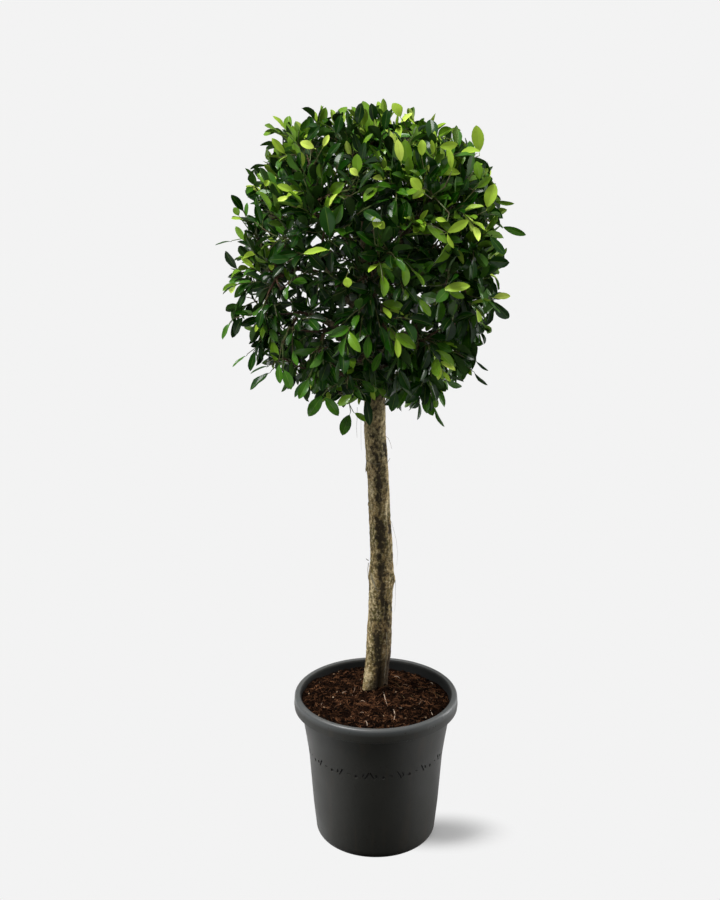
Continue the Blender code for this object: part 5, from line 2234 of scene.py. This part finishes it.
def seen_by_camera(tree):
    return add_node(tree, "LightPath").outputs["Is Camera Ray"]


def paper_material():
    """Paper that shows one pale tone, apart from the shading round the pot. To bounced light and reflections
    it is darker in front of the pot, as painted shade.
    """
    material = bpy.data.materials.new("paper")
    material.use_nodes = True
    tree = material.node_tree
    tree.nodes.remove(tree.nodes["Principled BSDF"])
    glow = add_node(tree, "Emission", Color=(PAPER, PAPER, PAPER, 1.0)).outputs[0]
    lit = add_node(tree, "BsdfDiffuse", Color=(PAPER_LIT, PAPER_LIT, PAPER_LIT, 1.0)).outputs[0]
    offset = add_node(tree, "VectorMath", {"operation": "DISTANCE"})
    tree.links.new(object_place(tree, (1.0, SHADOW_SQUASH, 1.0)), offset.inputs[0])
    offset.inputs[1].default_value = (SHADOW_CENTRE[0], SHADOW_CENTRE[1] * SHADOW_SQUASH, 0.0)
    # Painted shade: to bounced light and reflections the floor is darker in front of the pot.
    depth = add_node(tree, "SeparateXYZ", Vector=object_place(tree)).outputs["Y"]
    forward = math_node(tree, "DIVIDE", times(tree, depth, -1.0), length_of(tree, object_place(tree)))
    bounce_shade = spread(tree, forward, 0.98, 0.35, *BOUNCE_FRONT_SHADE)
    shaded_bounce = add_node(tree, "BsdfDiffuse", Color=bounce_shade).outputs[0]
    smooth = {"interpolation_type": "SMOOTHSTEP"}
    near = spread(tree, offset.outputs["Value"], SHADOW_OUTER, SHADOW_INNER, settings=smooth)
    paper = mix_shaders(tree, seen_by_camera(tree), shaded_bounce, mix_shaders(tree, near, glow, lit))
    tree.links.new(paper, tree.nodes["Material Output"].inputs["Surface"])
    return material


deselect_all()
bpy.ops.mesh.primitive_plane_add(size=FLOOR_SIZE, location=(0, 0, -FLOOR_DEPTH))
floor = bpy.context.object
floor.name = "floor"
floor.data.materials.append(paper_material())
print("floor:", [round(v, 2) for v in floor.dimensions])

# %% The room and the lights
ROOM_BASE = 0.02
ROOM_TOP = 0.7
ROOM_SIDES = 0.44
ROOM_LEFT = 0.45
SUN_PLACE = (-0.83, -0.27, 1.79)
SUN_STRENGTH = 3.5
SUN_ANGLE = radians(28)
# (name, place, aim, width, height, power)
LIGHTS = (
    ("left_strip", (-2.2, 0.9, 1.0), (0.0, 0.0, 0.7), 0.7, 2.2, 2.0),
    ("right_strip", (2.2, 0.9, 1.0), (0.0, 0.0, 0.7), 0.7, 2.2, 31.0),
    ("front_fill", (-0.9, -3.6, 2.0), (0.0, 0.0, 0.8), 1.4, 1.4, 8.0),
)


def room():
    """A room that is bright above, behind and at the sides, and pale where the viewer looks at it."""
    world = bpy.data.worlds.new("studio")
    world.use_nodes = True
    tree = world.node_tree
    background = tree.nodes["Background"]
    direction = add_node(tree, "TexCoord").outputs["Generated"]
    parts = add_node(tree, "SeparateXYZ", Vector=direction).outputs
    top = times(tree, spread(tree, parts["Z"], 0.15, 1.0), ROOM_TOP)
    left = times(tree, spread(tree, parts["X"], -0.15, -0.85), ROOM_LEFT)
    sideways = math_node(tree, "ADD", spread(tree, parts["X"], 0.15, 0.85), left)
    behind = spread(tree, parts["Y"], -0.85, -0.15)
    sides = times(tree, times(tree, sideways, behind), ROOM_SIDES)
    strength = math_node(tree, "ADD", math_node(tree, "ADD", top, sides), ROOM_BASE)
    tree.links.new(strength, background.inputs["Strength"])
    background.inputs["Color"].default_value = (1.0, 1.0, 1.0, 1.0)
    seen = add_node(tree, "Background", Color=(1.0, 1.0, 1.0, 1.0), Strength=PAPER).outputs[0]
    mixed = mix_shaders(tree, seen_by_camera(tree), background.outputs[0], seen)
    tree.links.new(mixed, tree.nodes["World Output"].inputs["Surface"])
    return world


def add_lamp(name, kind, place, aim, energy):
    lamp = bpy.data.lights.new(name, kind)
    lamp.energy = energy
    lamp_object = bpy.data.objects.new(name, lamp)
    lamp_object.location = place
    lamp_object.rotation_euler = (Vector(aim) - Vector(place)).to_track_quat("-Z", "Y").to_euler()
    bpy.context.scene.collection.objects.link(lamp_object)
    return lamp


bpy.context.scene.world = room()
key = add_lamp("key", "SUN", SUN_PLACE, (0.0, 0.0, 0.0), SUN_STRENGTH)
key.angle = SUN_ANGLE
for name, place, aim, width, height, power in LIGHTS:
    lamp = add_lamp(name, "AREA", place, aim, power)
    lamp.shape = "RECTANGLE"
    lamp.size = width
    lamp.size_y = height
print("lights:", len(LIGHTS) + 1)

# %% Camera
CAMERA_LENS = 64.0
SENSOR_WIDTH = 36.0

camera_data = bpy.data.cameras.new("camera")
camera_data.lens = CAMERA_LENS
camera_data.sensor_width = SENSOR_WIDTH
camera = bpy.data.objects.new("camera", camera_data)
camera.location = CAMERA_PLACE
camera.rotation_euler = (radians(90) - CAMERA_PITCH, 0, 0)
bpy.context.scene.collection.objects.link(camera)
bpy.context.scene.camera = camera
bpy.context.scene.view_settings.view_transform = "Standard"
